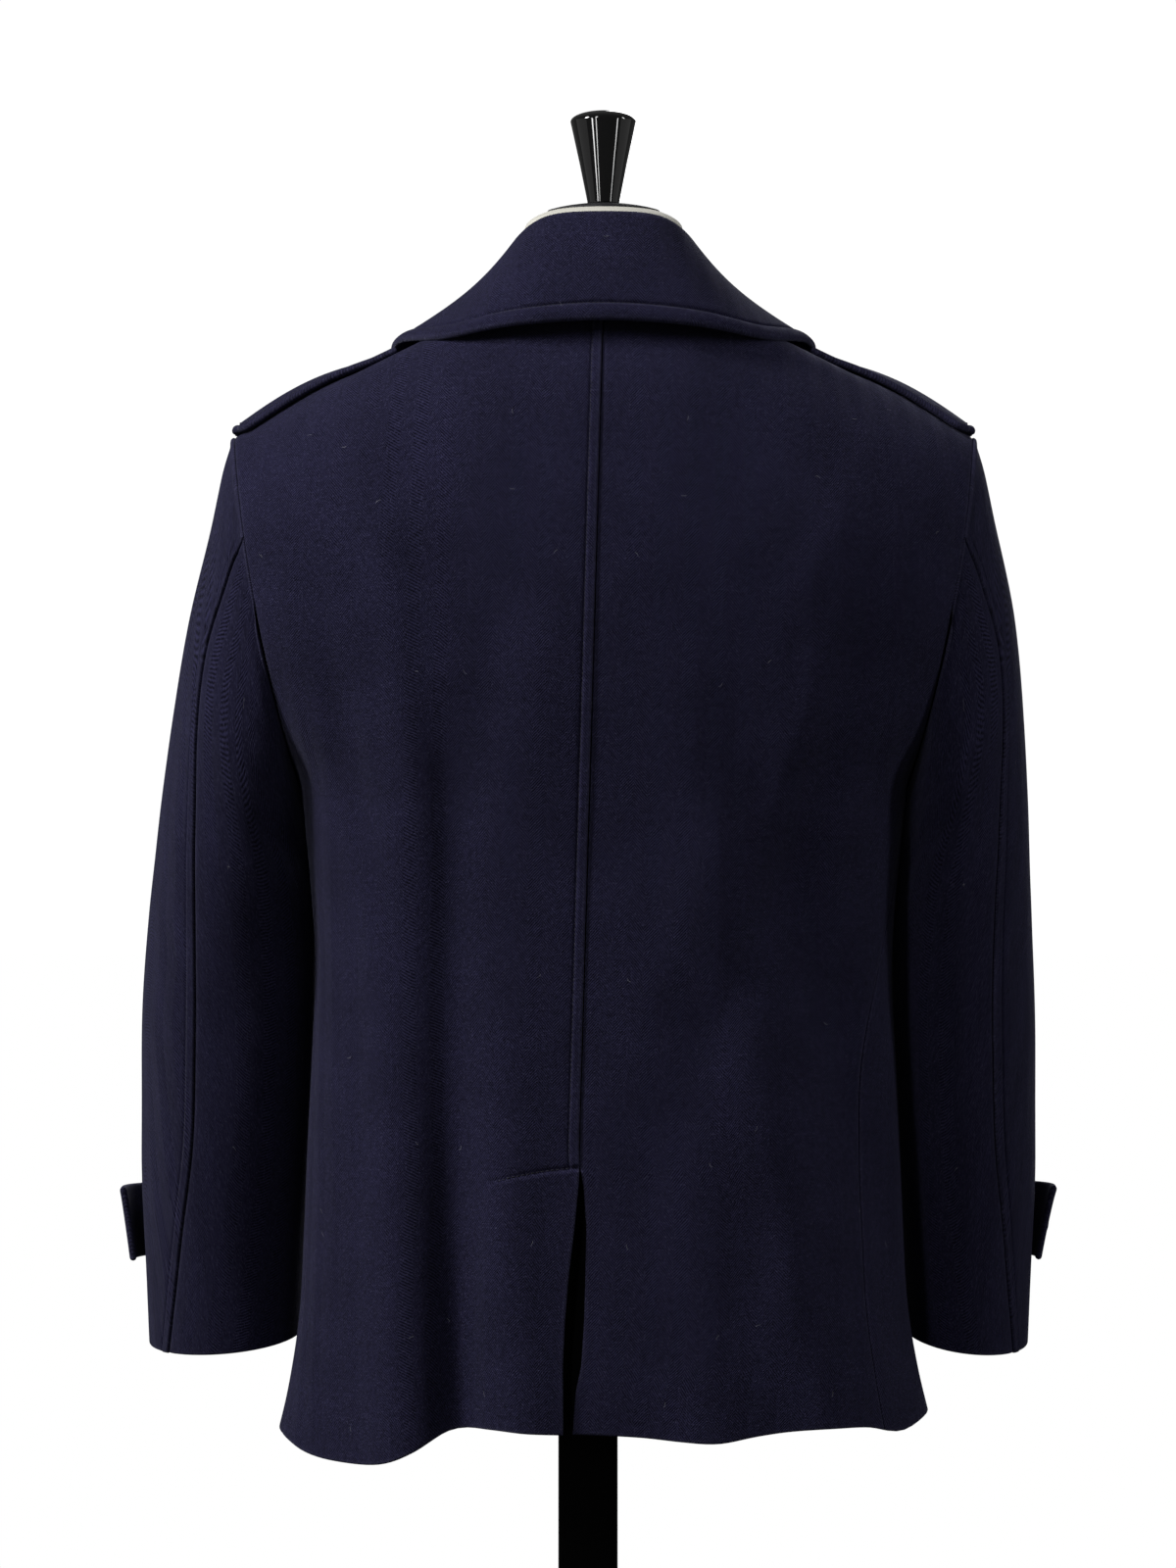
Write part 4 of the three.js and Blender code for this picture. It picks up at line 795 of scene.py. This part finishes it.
sleeve = {
    # outer and inner points, middle, half depth and the back seam's angle, from armhole to cuff
    "rings": [
        (250, 1357, 205, 1118, -4, 64, 66), (258, 1334, 206.5, 1110, -7, 67, 61), (267, 1293, 206, 1102, -10, 71, 55),
        (281.5, 1234, 204.5, 1092, -14, 74, 51), (293, 1168, 201.2, 1076, -19, 76, 55),
        (303, 1098, 197.4, 1048, -26, 75, 63), (311, 1030, 195.4, 1003, -33, 71, 68),
        (317, 952, 197, 937, -39, 66, 72), (318, 872, 200.5, 866, -44, 60, 71),
        (314.5, 800, 205, 799, -48, 55, 59), (312, 739, 208, 746, -50, 52, 46),
    ],
    "frontSeam": -128, "dipFrom": 8.6, "dip": 7, "headClear": 1.2, "inner": 3.9,
    # side, outward, deeper, forward, how much further out the lower end of the tab stands
    "hang": {"left": (1, 0, 0, 0, 4), "right": (-1, -20, 8, 6, 0)},
    # folds: ring, angle, spread along and around, how far out
    "folds": [(5.4, -62, 0.42, 46, -4), (6.3, -84, 0.36, 40, -5), (4.3, 118, 0.45, 34, -4), (7.6, 20, 0.7, 26, -2.5)],
    "fineFolds": [(2.2, 84, 0.5, 22, -2.0), (3.1, 96, 0.4, 26, -1.8), (5.2, 44, 0.6, 24, 1.8),
                  (6.6, 96, 0.5, 20, -1.9), (8.4, 70, 0.7, 22, 1.6), (9.2, 120, 0.5, 26, -1.3),
                  (4.4, 70, 0.5, 18, -1.6), (7.4, 112, 0.6, 22, 1.8), (5.9, 120, 0.4, 24, -1.8)],
}
rings = np.array(sleeve["rings"], float)
ringCount = len(rings) - 1


# Rings round a leaning axis: x and z slide from the inner to the outer point with the cosine of the angle,
# y is a sine, and each fold is a bell in ring and angle.
def sleeveSurface(hang):
    side, outward, deeper, forward = hang[:4]

    def surface(angle, ring):
        angle, ring = np.broadcast_arrays(angle, ring)
        row = tableAt(rings, ring)
        low = smooth(ring, 2, 7)
        a = np.radians(angle)
        c, s = np.cos(a), np.sin(a)
        share = (1 + c) / 2
        head = np.maximum(0, 1 - ring) * armhole["bow"] * np.sin(math.pi * share)
        head = head - sleeve["inner"] * bell(ring - 2.6, 1.7) * smooth(-c, 0.2, 0.9)
        seam = np.exp(-ring * 3)
        x = mix(row[..., 2], row[..., 0] + outward * low, share) + head
        x = x + seam * (2 * body["seamGap"] + sleeve["headClear"] * np.maximum(0, c))
        y = row[..., 4] - forward * low + (row[..., 5] + deeper * low) * s
        dip = sleeve["dip"] * smooth(ring, sleeve["dipFrom"], ringCount) * np.maximum(0, s)
        z = mix(row[..., 3], row[..., 1], share) - seam * body["seamGap"] - dip
        out = 0
        for at, turn, along, around, high in sleeve["folds"] + sleeve["fineFolds"]:
            apart = (angle - turn + 540) % 360 - 180
            out = out + high * bell(ring - at, along) * bell(apart, around)
        return np.stack([side * (x + out * c), y + out * s, z], -1)

    return surface


def backSeamAt(ring):
    return tableAt(rings, ring)[..., 6]


# Raised lap along the back seam with its stitched groove, and a soft roll at the head.
def topSleeveDetail(fromFront, fromBack, v, p):
    lap = 1.3 * (1 - smooth(fromBack, 5.4, 6.8)) - 0.9 * bell(fromBack - 6.4, 0.9)
    return lap * smooth(v, 0.6, 1.2) - 0.4 * np.exp(-fromFront / 2.5) + 0.8 * bell(v - 0.16, 0.12)


def underSleeveDetail(fromBack, fromFront, v, p):
    return -0.8 * np.exp(-fromBack / 1.6) - 0.4 * np.exp(-fromFront / 2.5)


sleeveSteps = np.concatenate([[0, 0.02, 0.05, 0.09, 0.14, 0.2, 0.28, 0.38, 0.5, 0.64, 0.8, 1.0], np.linspace(1.1, 9.82, 92),
                              [9.9, 9.94, 9.97, 9.988, 10]])
print("sleeves")
for name, hang in sleeve["hang"].items():
    surface = sleeveSurface(hang)
    seams = backSeamAt(sleeveSteps)
    top = cutPiece(f"top_sleeve_{name}_cloth", surface, sleeve["frontSeam"] + 0.15, seams - 0.15, sleeveSteps,
                   -hang[0], body["wall"], looks["wool"], topSleeveDetail, (edgeMarks, seamMarks), 40)
    under = cutPiece(f"under_sleeve_{name}_cloth", surface, seams + 0.15, 360 + sleeve["frontSeam"] - 0.15, sleeveSteps,
                     -hang[0], body["wall"], looks["wool"], underSleeveDetail, (edgeMarks, edgeMarks), 32)
    dress(top, f"top_sleeve_{name}")
    dress(under, f"under_sleeve_{name}")
    run = np.linspace(0.9, 9.97, 200)
    sew(*pathOn(surface, sleeve["frontSeam"] + 0.15, backSeamAt(run) - 0.15, run, -hang[0], 6.4, topSleeveDetail,
                fromHigh=True))

tab = {"top": 8.35, "bottom": 9.06, "from": -124, "to": 9, "liftTop": 10.5, "liftBottom": 1.5, "buttonAngle": -20}


# A strip round the front of the cuff that leaves it towards its free end.
def tabSurface(hang):
    base = sleeveSurface(hang)

    def surface(u, v):
        u, v = np.broadcast_arrays(u, v)
        angle = mix(tab["from"], tab["to"], u)
        ring = mix(tab["top"], tab["bottom"], v)
        n = pointNormals(base, angle, ring, -hang[0], 0.8, 0.03)
        away = smooth(angle, -70, 0) * mix(tab["liftTop"], tab["liftBottom"] + hang[4], np.clip(v, 0, 1) ** 0.7)
        return base(angle, ring) + n * (body["doubled"] + 0.6 + away)[..., None]

    return surface


# Stitching 6 mm inside the free end.
def tabDetail(fromLow, fromHigh, v, p):
    return -0.5 * bell(fromHigh - 6, 1.0) + 0.3 * (1 - smooth(fromHigh, 4.5, 6.5))


tabSteps = np.concatenate([[0, 0.008, 0.02, 0.04, 0.08], np.linspace(0.14, 0.86, 14), [0.92, 0.96, 0.98, 0.992, 1]])
print("cuff tabs")
for name, hang in sleeve["hang"].items():
    surface = tabSurface(hang)
    piece = cutPiece(f"cuff_tab_{name}_cloth", surface, 0, 1, tabSteps, -hang[0], body["doubled"], looks["wool"],
                     tabDetail, (edgeMarks, seamMarks), 40)
    dress(piece, f"cuff_tab_{name}")
    sew(*pathOn(surface, 0, 1, np.linspace(0.04, 0.96, 40), -hang[0], 6, tabDetail, fromHigh=True))

strap = {"from": 138, "to": 249, "halfWidth": 20, "point": 12, "lift": 1.5, "roundness": 0.5}


# Halves the stretch between two places until it holds the point where the test turns.
def seek(test, low, high):
    a, b = low, high
    for _ in range(26):
        m = (a + b) / 2
        keep = test(m)
        a, b = np.where(keep, m, a), np.where(keep, b, m)
    return (a + b) / 2


# Point of the shoulder at a place across and a distance from its seam, negative to the front.
def shoulderPoint(back, front, x, off):
    def on(panel, top, rising):
        def at(v):
            low = np.full(x.shape, 0.2 if rising else 0.0)
            u = seek(lambda m: (np.abs(panel(m, v)[..., 0]) < x) == rising, low, np.ones(x.shape))
            return panel(u, v)
        rows = seek(lambda m: np.abs(at(top - m)[..., 1] - body["shoulderLine"]) < np.abs(off),
                    np.zeros(x.shape), np.full(x.shape, 2.5))
        return at(top - rows)
    behind, before = on(back, shoulderRow, True), on(front, frontTopRow, False)
    return np.where((off >= 0)[..., None], behind, before)


# A strip along the shoulder seam whose end narrows, moved out by its own thickness.
def strapSurface(side, back, front):
    us, vs = np.linspace(0, 1, 41), np.linspace(0, 1, 25)
    x = mix(strap["from"], strap["to"], us)[None, :] + 0 * vs[:, None]
    narrow = 1 - strap["roundness"] * smooth(x, strap["to"] - strap["point"], strap["to"])
    off = mix(-strap["halfWidth"], strap["halfWidth"], vs)[:, None] * narrow
    base = shoulderPoint(back, front, x, off)
    n = gridNormals(base, side)
    n[..., 1] *= 0.5
    grid = base + unitVectors(n) * (strap["lift"] + body["doubled"])

    # Straight between the points of a fine grid.
    def surface(u, v):
        u, v = np.broadcast_arrays(u, v)
        pu, pv = np.clip(u, 0, 1) * (len(us) - 1), np.clip(v, 0, 1) * (len(vs) - 1)
        i, j = np.minimum(pu.astype(int), len(us) - 2), np.minimum(pv.astype(int), len(vs) - 2)
        a, b = (pu - i)[..., None], (pv - j)[..., None]
        return mix(mix(grid[j, i], grid[j, i + 1], a), mix(grid[j + 1, i], grid[j + 1, i + 1], a), b)

    return surface


# A stitched line 6 mm inside the long edges and the end, and a puffed rim outside it.
def strapDetail(fromLow, fromHigh, v, p):
    fromSide = np.minimum(v, 1 - v) * 2 * strap["halfWidth"]
    rim = np.minimum(fromSide, fromHigh)
    return -0.7 * bell(rim - 6, 1.0) + 0.6 * np.sin(math.pi * np.clip(rim / 6, 0, 1))


strapSteps = np.concatenate([[0, 0.01, 0.025, 0.05, 0.09, 0.12, 0.14, 0.16, 0.18], np.linspace(0.22, 0.78, 15),
                             [0.82, 0.84, 0.86, 0.88, 0.91, 0.95, 0.975, 0.99, 1]])
print("shoulder straps")
for name, side, back, front in (("left", 1, backLeftBase, frontLeft), ("right", -1, backRightBase, frontRight)):
    surface = strapSurface(side, back, front)
    piece = cutPiece(f"shoulder_strap_{name}_cloth", surface, 0, 1, strapSteps, side, body["doubled"], looks["wool"],
                     strapDetail, (edgeMarks, seamMarks), 44, turnUv=True)
    dress(piece, f"shoulder_strap_{name}")
    for v in (0.15, 0.85):
        sewAlong(surface, np.linspace(0.01, 0.94, 120), np.full(120, v), side)
    sewAlong(surface, np.full(30, 0.945), np.linspace(0.17, 0.83, 30), side)

collar = {
    # from the centre back to the front end: neckline, top of the fold, edge of the fall, its bulge
    "rows": [
        (0, 60, 1457, 0, 65, 1503, 0, 99, 1428, 3.5), (38, 50, 1456, 36, 56, 1501, 62, 94, 1425, 2),
        (64, 22, 1453.5, 55, 31, 1491, 109, 64, 1419.8, -2), (71, -8, 1450.5, 62.5, -6, 1478, 141, 4, 1422.6, -4),
        (68, -40, 1442, 62.5, -43, 1460, 144, -52, 1410.2, 1), (60, -69, 1425, 58, -76, 1438, 124, -94, 1377, 0),
    ],
    "rollRadius": 5.6, "standShare": 0.3, "rollShare": 0.55, "stitch": 12.0,
}
collarHalf = np.array(collar["rows"], float)
collarTable = np.concatenate([collarHalf[:0:-1] * (-1, 1, 1, -1, 1, 1, -1, 1, 1, 1), collarHalf])


# Straight up the stand, round the roll in a half circle, and down the bulging fall.
def collarSurface(u, v):
    u, v = np.broadcast_arrays(u, v)
    row = tableAt(collarTable, v * (len(collarTable) - 1))
    neck, fold, edge = row[..., 0:3], row[..., 3:6], row[..., 6:9]
    out = unitVectors((edge - neck) * (1, 1, 0))
    centre = fold - (0, 0, collar["rollRadius"])
    fall = edge - centre
    lean = np.arctan2(np.sum(fall * out, -1), -fall[..., 2])

    def rollAt(a):
        return (centre - collar["rollRadius"] * np.cos(a)[..., None] * out
                + collar["rollRadius"] * np.sin(a)[..., None] * np.array((0, 0, 1)))

    stand, roll = collar["standShare"], collar["rollShare"]
    end = math.pi - lean
    up = mix(neck, rollAt(np.zeros_like(u)), np.clip(u / stand, 0, 1)[..., None])
    over = rollAt(np.clip((u - stand) / (roll - stand), 0, 1) * end)
    t = np.clip((u - roll) / (1 - roll), 0, 1)[..., None]
    down = mix(rollAt(end), edge, t) + row[..., 9:10] * np.sin(math.pi * t) * out
    return np.where((u < stand)[..., None], up, np.where((u < roll)[..., None], over, down))


collarMarks = (edgeMarks, (0, 0.35, 0.8, 1.4, 2.3, 4.0, 6, 8, 9.6, 10.6, 11.4, 12, 12.6, 13.4, 14.6, 16.5))
collarSteps = np.concatenate([[0, 0.0012, 0.003, 0.006, 0.011], np.linspace(0.018, 0.982, 170),
                              [0.989, 0.994, 0.997, 0.9988, 1]])
print("collar")
collarDetail = bandDetail(collar["stitch"], 1.5, 1.3)
collarPiece = cutPiece("collar_cloth", collarSurface, 0, 1, collarSteps, -1, body["doubled"], looks["wool"],
                       collarDetail, collarMarks, 40, turnUv=True, fromMiddle=True)
dress(collarPiece, "collar")
sew(*pathOn(collarSurface, 0, 1, np.linspace(0.012, 0.988, 500), -1, collar["stitch"], collarDetail, fromHigh=True))

threads = threadPiece("seam_thread", looks["thread"])
dress(threads, None)

button = {"radius": 14, "height": 4, "rim": 1.6, "dish": 1.1, "hole": 1.25, "holeRing": 2.7, "pit": 2.2}
cuffButton = {**button, "radius": 10, "height": 3.4, "holeRing": 2.2, "hole": 1.0}
buttonColumns, buttonHeights = (-48, 52), (1232, 1112, 992)


# Profile (radius, height) turned about the Z axis.
def lathe(profile, segments, close=True):
    profile = np.asarray(profile, float)
    a = np.linspace(0, 2 * math.pi, segments, endpoint=False)
    points = np.stack([profile[:, None, 0] * np.cos(a), profile[:, None, 0] * np.sin(a),
                       np.broadcast_to(profile[:, 1:2], (len(profile), segments))], -1)
    index = np.arange(len(profile) * segments).reshape(len(profile), segments)
    turn = np.roll(index, -1, 1)
    faces = np.stack([index[:-1], turn[:-1], turn[1:], index[1:]], -1).reshape(-1, 4)
    return points, faces


# The same profile with its corners cut to short curves.
def softened(profile, count=7, share=0.35):
    p = np.asarray(profile, float)
    out = [p[:1]]
    for a, b, c in zip(p[:-2], p[1:-1], p[2:]):
        reach = share * min(np.linalg.norm(b - a), np.linalg.norm(c - b), 3.0)
        start, end = b + unitVectors(a - b) * reach, b + unitVectors(c - b) * reach
        t = np.linspace(0, 1, count)[:, None]
        out.append((1 - t) ** 2 * start + 2 * t * (1 - t) * b + t**2 * end)
    return np.concatenate(out + [p[-1:]])


# Turned body with a raised rim and a dished face; four round pits go down into it.
def buttonPoints(size):
    r, h = size["radius"], size["height"]
    face = np.linspace(r - size["rim"] * 2.2, 0.02, 26)
    outline = softened([(0.02, 0), (r * 0.8, 0), (r, h * 0.45), (r - 0.3, h * 0.8), (r - size["rim"], h),
                        (r - size["rim"] * 2.2, h - size["dish"])])
    profile = np.concatenate([outline, np.stack([face[1:], np.full(25, h - size["dish"])], 1)])
    points, faces = lathe(profile, 72)
    x, y, z = points[..., 0], points[..., 1], points[..., 2]
    reach = size["holeRing"] / math.sqrt(2)
    away = np.min([np.hypot(x - sx * reach, y - sy * reach) for sx in (-1, 1) for sy in (-1, 1)], 0)
    sink = size["pit"] * (1 - smooth(away, size["hole"] * 0.8, size["hole"] * 1.15)) * (z > h - size["dish"] - 0.1)
    points = np.stack([x, y, z - sink], -1)
    return points.reshape(-1, 3), faces


# Two sewn bars across the holes, each a half ring of thread.
def threadBars(size):
    h = size["height"] - size["dish"]
    reach = size["holeRing"] / math.sqrt(2)
    t = np.linspace(0, math.pi, 15)
    bars = []
    for y in (-reach, reach):
        path = np.stack([-np.cos(t) * reach, np.full_like(t, y), h - 0.9 + 1.25 * np.sin(t) ** 0.5], 1)
        ahead = unitVectors(np.gradient(path, axis=0))
        side = np.array([0.0, 1.0, 0.0])
        up = np.cross(ahead, side)
        turn = np.linspace(0, 2 * math.pi, 8, endpoint=False)
        bars.append(path[:, None] + 0.55 * (np.cos(turn)[None, :, None] * side + np.sin(turn)[None, :, None] * up[:, None]))
    return bars


# Turns a button from its own axis, Z, to the cloth's normal and sets it on its foot.
def turnTo(points, foot, normal):
    turn = np.array(Vector((0, 0, 1)).rotation_difference(Vector(normal)).to_matrix())
    return points @ turn.T + foot


def addButton(name, size, foot, normal):
    points, faces = buttonPoints(size)
    piece = meshFrom(f"{name}_plastic", turnTo(points, foot, normal), faces, looks["button"])
    dress(piece, name)
    tubes = np.array(threadBars(size))
    count, along, sides = tubes.shape[:3]
    base = np.arange(along * sides).reshape(along, sides)
    turn = np.roll(base, -1, 1)
    faces = np.stack([base[:-1], base[1:], turn[1:], turn[:-1]], -1).reshape(-1, 4)
    every = (faces[None] + (np.arange(count) * along * sides)[:, None, None]).reshape(-1, 4)
    sewn = meshFrom(f"{name}_thread", turnTo(tubes.reshape(-1, 3), foot, normal), every, looks["thread"])
    dress(sewn, None)


# Parameters of the left front nearest to a place across and a height.
def onFront(x, z):
    v, u = np.meshgrid(np.arange(5, 13.5, 0.02), np.arange(0.4, 1.0001, 0.0025), indexing="ij")
    p = frontLeft(u, v)
    best = np.argmin(np.hypot(p[..., 0] - x, p[..., 2] - z))
    return u.ravel()[best], v.ravel()[best]


print("buttons")
number = 1
for z in buttonHeights:
    for x in buttonColumns:
        u, v = (np.array([k]) for k in onFront(x, z))
        n = pointNormals(frontLeft, np.minimum(u, 0.99), v, -1, 0.004, 0.03)[0]
        addButton(f"front_button_{number}", button, frontLeft(u, v)[0] + n * 0.6, n)
        number += 1
for name, hang in sleeve["hang"].items():
    surface = sleeveSurface(hang)
    angle, ring = np.array([float(tab["buttonAngle"])]), np.array([(tab["top"] + tab["bottom"]) / 2])
    n = pointNormals(surface, angle, ring, -hang[0], 0.8, 0.03)[0]
    away = smooth(angle, -70, 0) * mix(tab["liftTop"], tab["liftBottom"] + hang[4], 0.5**0.7)
    addButton(f"cuff_button_{name}", cuffButton, surface(angle, ring)[0] + n * (body["doubled"] + 1.9 + away[0]), n)

form = {
    # rings: height, half width, back and front depth, power
    "rings": [
        (800, 148, 90, -92, 2.2), (808, 156, 96, -98, 2.2), (870, 164, 99, -101, 2.2), (930, 156, 94, -96, 2.2),
        (1000, 140, 86, -86, 2.2), (1060, 142, 88, -88, 2.2), (1130, 156, 95, -98, 2.2), (1200, 168, 101, -106, 2.2),
        (1262, 178, 103, -106, 2.2), (1318, 190, 99, -97, 2.1), (1352, 197, 91, -88, 1.9),
    ],
    "ridge": [190, 168, 147, 128, 110, 96, 85], "neckBase": 1453, "neckTop": 1493, "neckBaseHalf": 57, "neckHalf": 53,
    "piping": [11, 14, 18, 23, 28, 33, 38], "pipingHigh": 0.9, "capRadius": 53.5, "capRim": 4, "capTop": 1514,
    "knobFoot": 10.8, "knobHead": 22.5, "knobTop": 1578, "knobCorner": 1570.5,
    "postWidth": 40, "postTop": 799.7, "postCorner": 2.5, "baseRadius": 190, "baseHeight": 12, "baseBevel": 3,
}


# Rings of signed powers of sine and cosine about the shoulder line, closed at both ends.
def torsoPoints(around=96, between=3):
    rows = list(form["rings"])
    slope = math.atan(body["shoulderSlope"])
    for x in form["ridge"]:
        share = (x - 85) / (190 - 85)
        rows.append((float(shoulderHeight(x)) - body["wall"] / math.cos(slope) - 0.6, x, mix(56, 84, share),
                     -mix(42, 82, share), mix(1.5, 1.7, share)))
    rows += [(form["neckBase"], form["neckBaseHalf"], 48, -48, 2), (form["neckBase"] + 12, form["neckHalf"], 50, -55, 2),
             (form["neckTop"], form["neckHalf"], 50, -55, 2)]
    table = np.array(rows, float)
    place = np.linspace(0, len(table) - 1, (len(table) - 1) * between + 1)
    rows = np.stack([np.interp(place, np.arange(len(table)), table[:, k]) for k in range(5)], 1)
    z, half, back, front, power = (rows[:, k][:, None] for k in range(5))
    a = np.linspace(0, 2 * math.pi, around, endpoint=False)
    s, c = signedPower(np.sin(a), 2 / power), signedPower(np.cos(a), 2 / power)
    line = body["shoulderLine"]
    depth = np.where(c >= 0, back - line, line - front)
    return np.stack([half * s, line + depth * c, z + 0 * s], -1)


# Rings joined by quads, each end drawn in to a small ring about its middle.
def closedStack(points):
    middle = lambda ring: ring.mean(0) + (ring - ring.mean(0)) * 0.001
    points = np.concatenate([middle(points[0])[None], points, middle(points[-1])[None]])
    high, around = points.shape[:2]
    index = np.arange(high * around).reshape(high, around)
    turn = np.roll(index, -1, 1)
    faces = np.stack([index[:-1], turn[:-1], turn[1:], index[1:]], -1).reshape(-1, 4)
    return points.reshape(-1, 3), faces


print("dress form and stand")
torso = meshFrom("form_torso_cover", *closedStack(torsoPoints()), looks["jersey"])
dress(torso, "form_torso")

foot = form["neckTop"] + body["seamGap"]
shoulderZ = foot + form["capRim"]
dome = np.linspace(0, math.pi / 2, 22)
domeR, domeZ = form["capRadius"] * np.cos(dome), shoulderZ + (form["capTop"] - shoulderZ) * np.sin(dome)
capProfile = [(0.02, foot), (form["capRadius"] - 1, foot), (form["capRadius"], foot + 1)] + list(zip(domeR, domeZ))
capProfile[-1] = (0.02, form["capTop"])
cap = meshFrom("neck_cap_cover", *(lambda p, f: (p.reshape(-1, 3), f))(*lathe(capProfile, 96)), looks["jersey"])
dress(cap, "neck_cap")

# a thin dark piping lies round the foot of the knob and on the cap's crown
reach = np.array(form["piping"])
pipeLow = np.interp(reach, domeR[::-1], domeZ[::-1])
pipe = np.concatenate([np.stack([reach, pipeLow - 0.3], 1), np.stack([reach, pipeLow + form["pipingHigh"]], 1)[::-1]])
pipe = np.concatenate([pipe, pipe[:1]])
trim = meshFrom("cap_piping", *(lambda p, f: (p.reshape(-1, 3), f))(*lathe(pipe, 96)), looks["trim"])
dress(trim, None)

low = form["capTop"] + body["seamGap"]
head, corner, peak = form["knobHead"], form["knobCorner"], form["knobTop"]
crown = [(head * math.cos(t), corner + (peak - corner) * math.sin(t)) for t in np.linspace(0.12, 1.5, 14)]
knobProfile = softened([
    (0.02, low), (form["knobFoot"], low), (form["knobFoot"] + 0.4, low + 3),
    (mix(form["knobFoot"], head, 0.47), mix(low, corner, 0.5)), (head - 0.6, corner - 2.5), (head, corner),
    *crown, (0.02, peak)], 7, 0.4)
knob = meshFrom("knob_lacquer", *(lambda p, f: (p.reshape(-1, 3), f))(*lathe(knobProfile, 96)), looks["lacquer"])
dress(knob, "knob")


# Square with quarter circle corners, as one ring of points.
def roundedSquare(half, radius, count=6):
    a = np.concatenate([np.linspace(k, k + 1, count) for k in range(4)]) * math.pi / 2
    centre = np.repeat([(1, 1), (-1, 1), (-1, -1), (1, -1)], count, 0) * (half - radius)
    return centre + radius * np.stack([np.cos(a), np.sin(a)], 1)


postFoot = form["baseHeight"] + body["seamGap"]
levels = [(postFoot, 1.0), (postFoot + 1.0, 0), (form["postTop"] - 1.0, 0), (form["postTop"], 1.0)]
postRings = np.stack([np.concatenate([roundedSquare(form["postWidth"] / 2 - inset, form["postCorner"]),
                                      np.full((24, 1), z)], 1) for z, inset in levels])
postPiece = meshFrom("post_paint", *closedStack(postRings), looks["stand"], move=0)
dress(postPiece, "post")

radius, high, bevel = form["baseRadius"], form["baseHeight"], form["baseBevel"]
baseProfile = softened([(0.02, 0), (radius - 1, 0), (radius, 1), (radius, high - bevel), (radius - bevel, high), (0.02, high)])
basePiece = meshFrom("base_plate_paint", *(lambda p, f: (p.reshape(-1, 3), f))(*lathe(baseProfile, 160)),
                     looks["stand"], move=0)
dress(basePiece, "base_plate")

studio = {
    "cameraY": 3.4, "cameraZ": 1.122, "frameHigh": 1.0624,
    "keyPower": 74, "secondPower": 15, "fillPower": 16, "frontPower": 36, "panelPower": 2.8, "ambient": 0.07,
}
print("studio")
camera = bpy.data.cameras.new("camera")
camera.sensor_width = 36
camera.lens = 36 * studio["cameraY"] / studio["frameHigh"]
camera.clip_end = 100
eye = bpy.data.objects.new("camera", camera)
eye.location = (0, studio["cameraY"], studio["cameraZ"])
eye.rotation_euler = (math.pi / 2, 0, math.pi)
bpy.context.scene.collection.objects.link(eye)
bpy.context.scene.camera = eye


# Area light turned to its target; a streak light shows in gloss alone.
def softLight(name, place, target, size, power, streak=False):
    lamp = bpy.data.lights.new(name, "AREA")
    lamp.shape, lamp.size, lamp.size_y, lamp.energy = "RECTANGLE", *size, power
    holder = bpy.data.objects.new(name, lamp)
    holder.location = place
    holder.rotation_euler = (Vector(target) - Vector(place)).to_track_quat("-Z", "Y").to_euler()
    holder.visible_camera, holder.visible_diffuse = False, not streak
    bpy.context.scene.collection.objects.link(holder)


softLight("keyLight", (2.3, 1.05, 3.0), (0, 0, 1.4), (0.5, 1.3), studio["keyPower"])
softLight("secondLight", (1.1, 2.2, 3.1), (0, 0, 1.45), (0.3, 1.3), studio["secondPower"])
softLight("fillLight", (-2.7, 0.7, 2.5), (0, 0, 1.4), (0.3, 1.6), studio["fillPower"])
softLight("frontLight", (-0.9, -3.3, 2.2), (0, 0, 1.1), (1.6, 2.0), studio["frontPower"])

for number, (turn, wide, power) in enumerate([(41, 0.22, 14), (27, 0.13, 7), (-51, 0.16, 8)]):
    place = (3 * math.sin(math.radians(turn)), 3 * math.cos(math.radians(turn)), 0.85)
    softLight(f"streakLight{number}", place, (0, 0, 0.85), (wide, 1.6), power, streak=True)
for side in (1, -1):
    softLight(f"sidePanel{side}", (2.7 * side, 0.1, 1.2), (0, 0, 1.3), (2.4, 2.2), studio["panelPower"])

floorMesh = bpy.data.meshes.new("floor")
floorMesh.from_pydata([(-30, -30, 0), (30, -30, 0), (30, 30, 0), (-30, 30, 0)], [], [(0, 1, 2, 3)])
floorLook = Finish(bpy.data.materials.new("paleFloor"))
seen = floorLook.add("ShaderNodeLightPath")
spot = floorLook.add("ShaderNodeTexCoord", {}, {}, 3)
away = floorLook.add("ShaderNodeVectorMath", {"operation": "LENGTH"}, {0: spot}, 1)
fade = floorLook.add("ShaderNodeMapRange", {"interpolation_type": "SMOOTHSTEP"}, {0: away, 1: 1.2, 2: 3.4})
pale = floorLook.blend(seen, (0.08, 0.08, 0.08, 1), (0.7, 0.7, 0.7, 1))
plain = floorLook.add("ShaderNodeBsdfPrincipled", {}, {"Base Color": pale, "Roughness": 0.8})
glow = floorLook.add("ShaderNodeEmission", {}, {0: (1, 1, 1, 1), 1: seen * (1 - studio["ambient"]) + studio["ambient"]})
both = floorLook.add("ShaderNodeMixShader", {}, {0: fade, 1: plain, 2: glow})
floorLook.add("ShaderNodeOutputMaterial", {}, {"Surface": both})
floorMesh.materials.append(floorLook.owner)
floor = bpy.data.objects.new("floor", floorMesh)
bpy.context.scene.collection.objects.link(floor)
floor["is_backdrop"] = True

world = bpy.data.worlds.new("studio")
air = Finish(world)
strength = air.add("ShaderNodeLightPath") * (1.02 - studio["ambient"]) + studio["ambient"]
sky = air.add("ShaderNodeBackground", {}, {"Color": (1, 1, 1, 1), "Strength": strength})
air.add("ShaderNodeOutputWorld", {}, {"Surface": sky})
bpy.context.scene.world = world
bpy.context.scene.view_settings.view_transform = "Standard"

low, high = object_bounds()
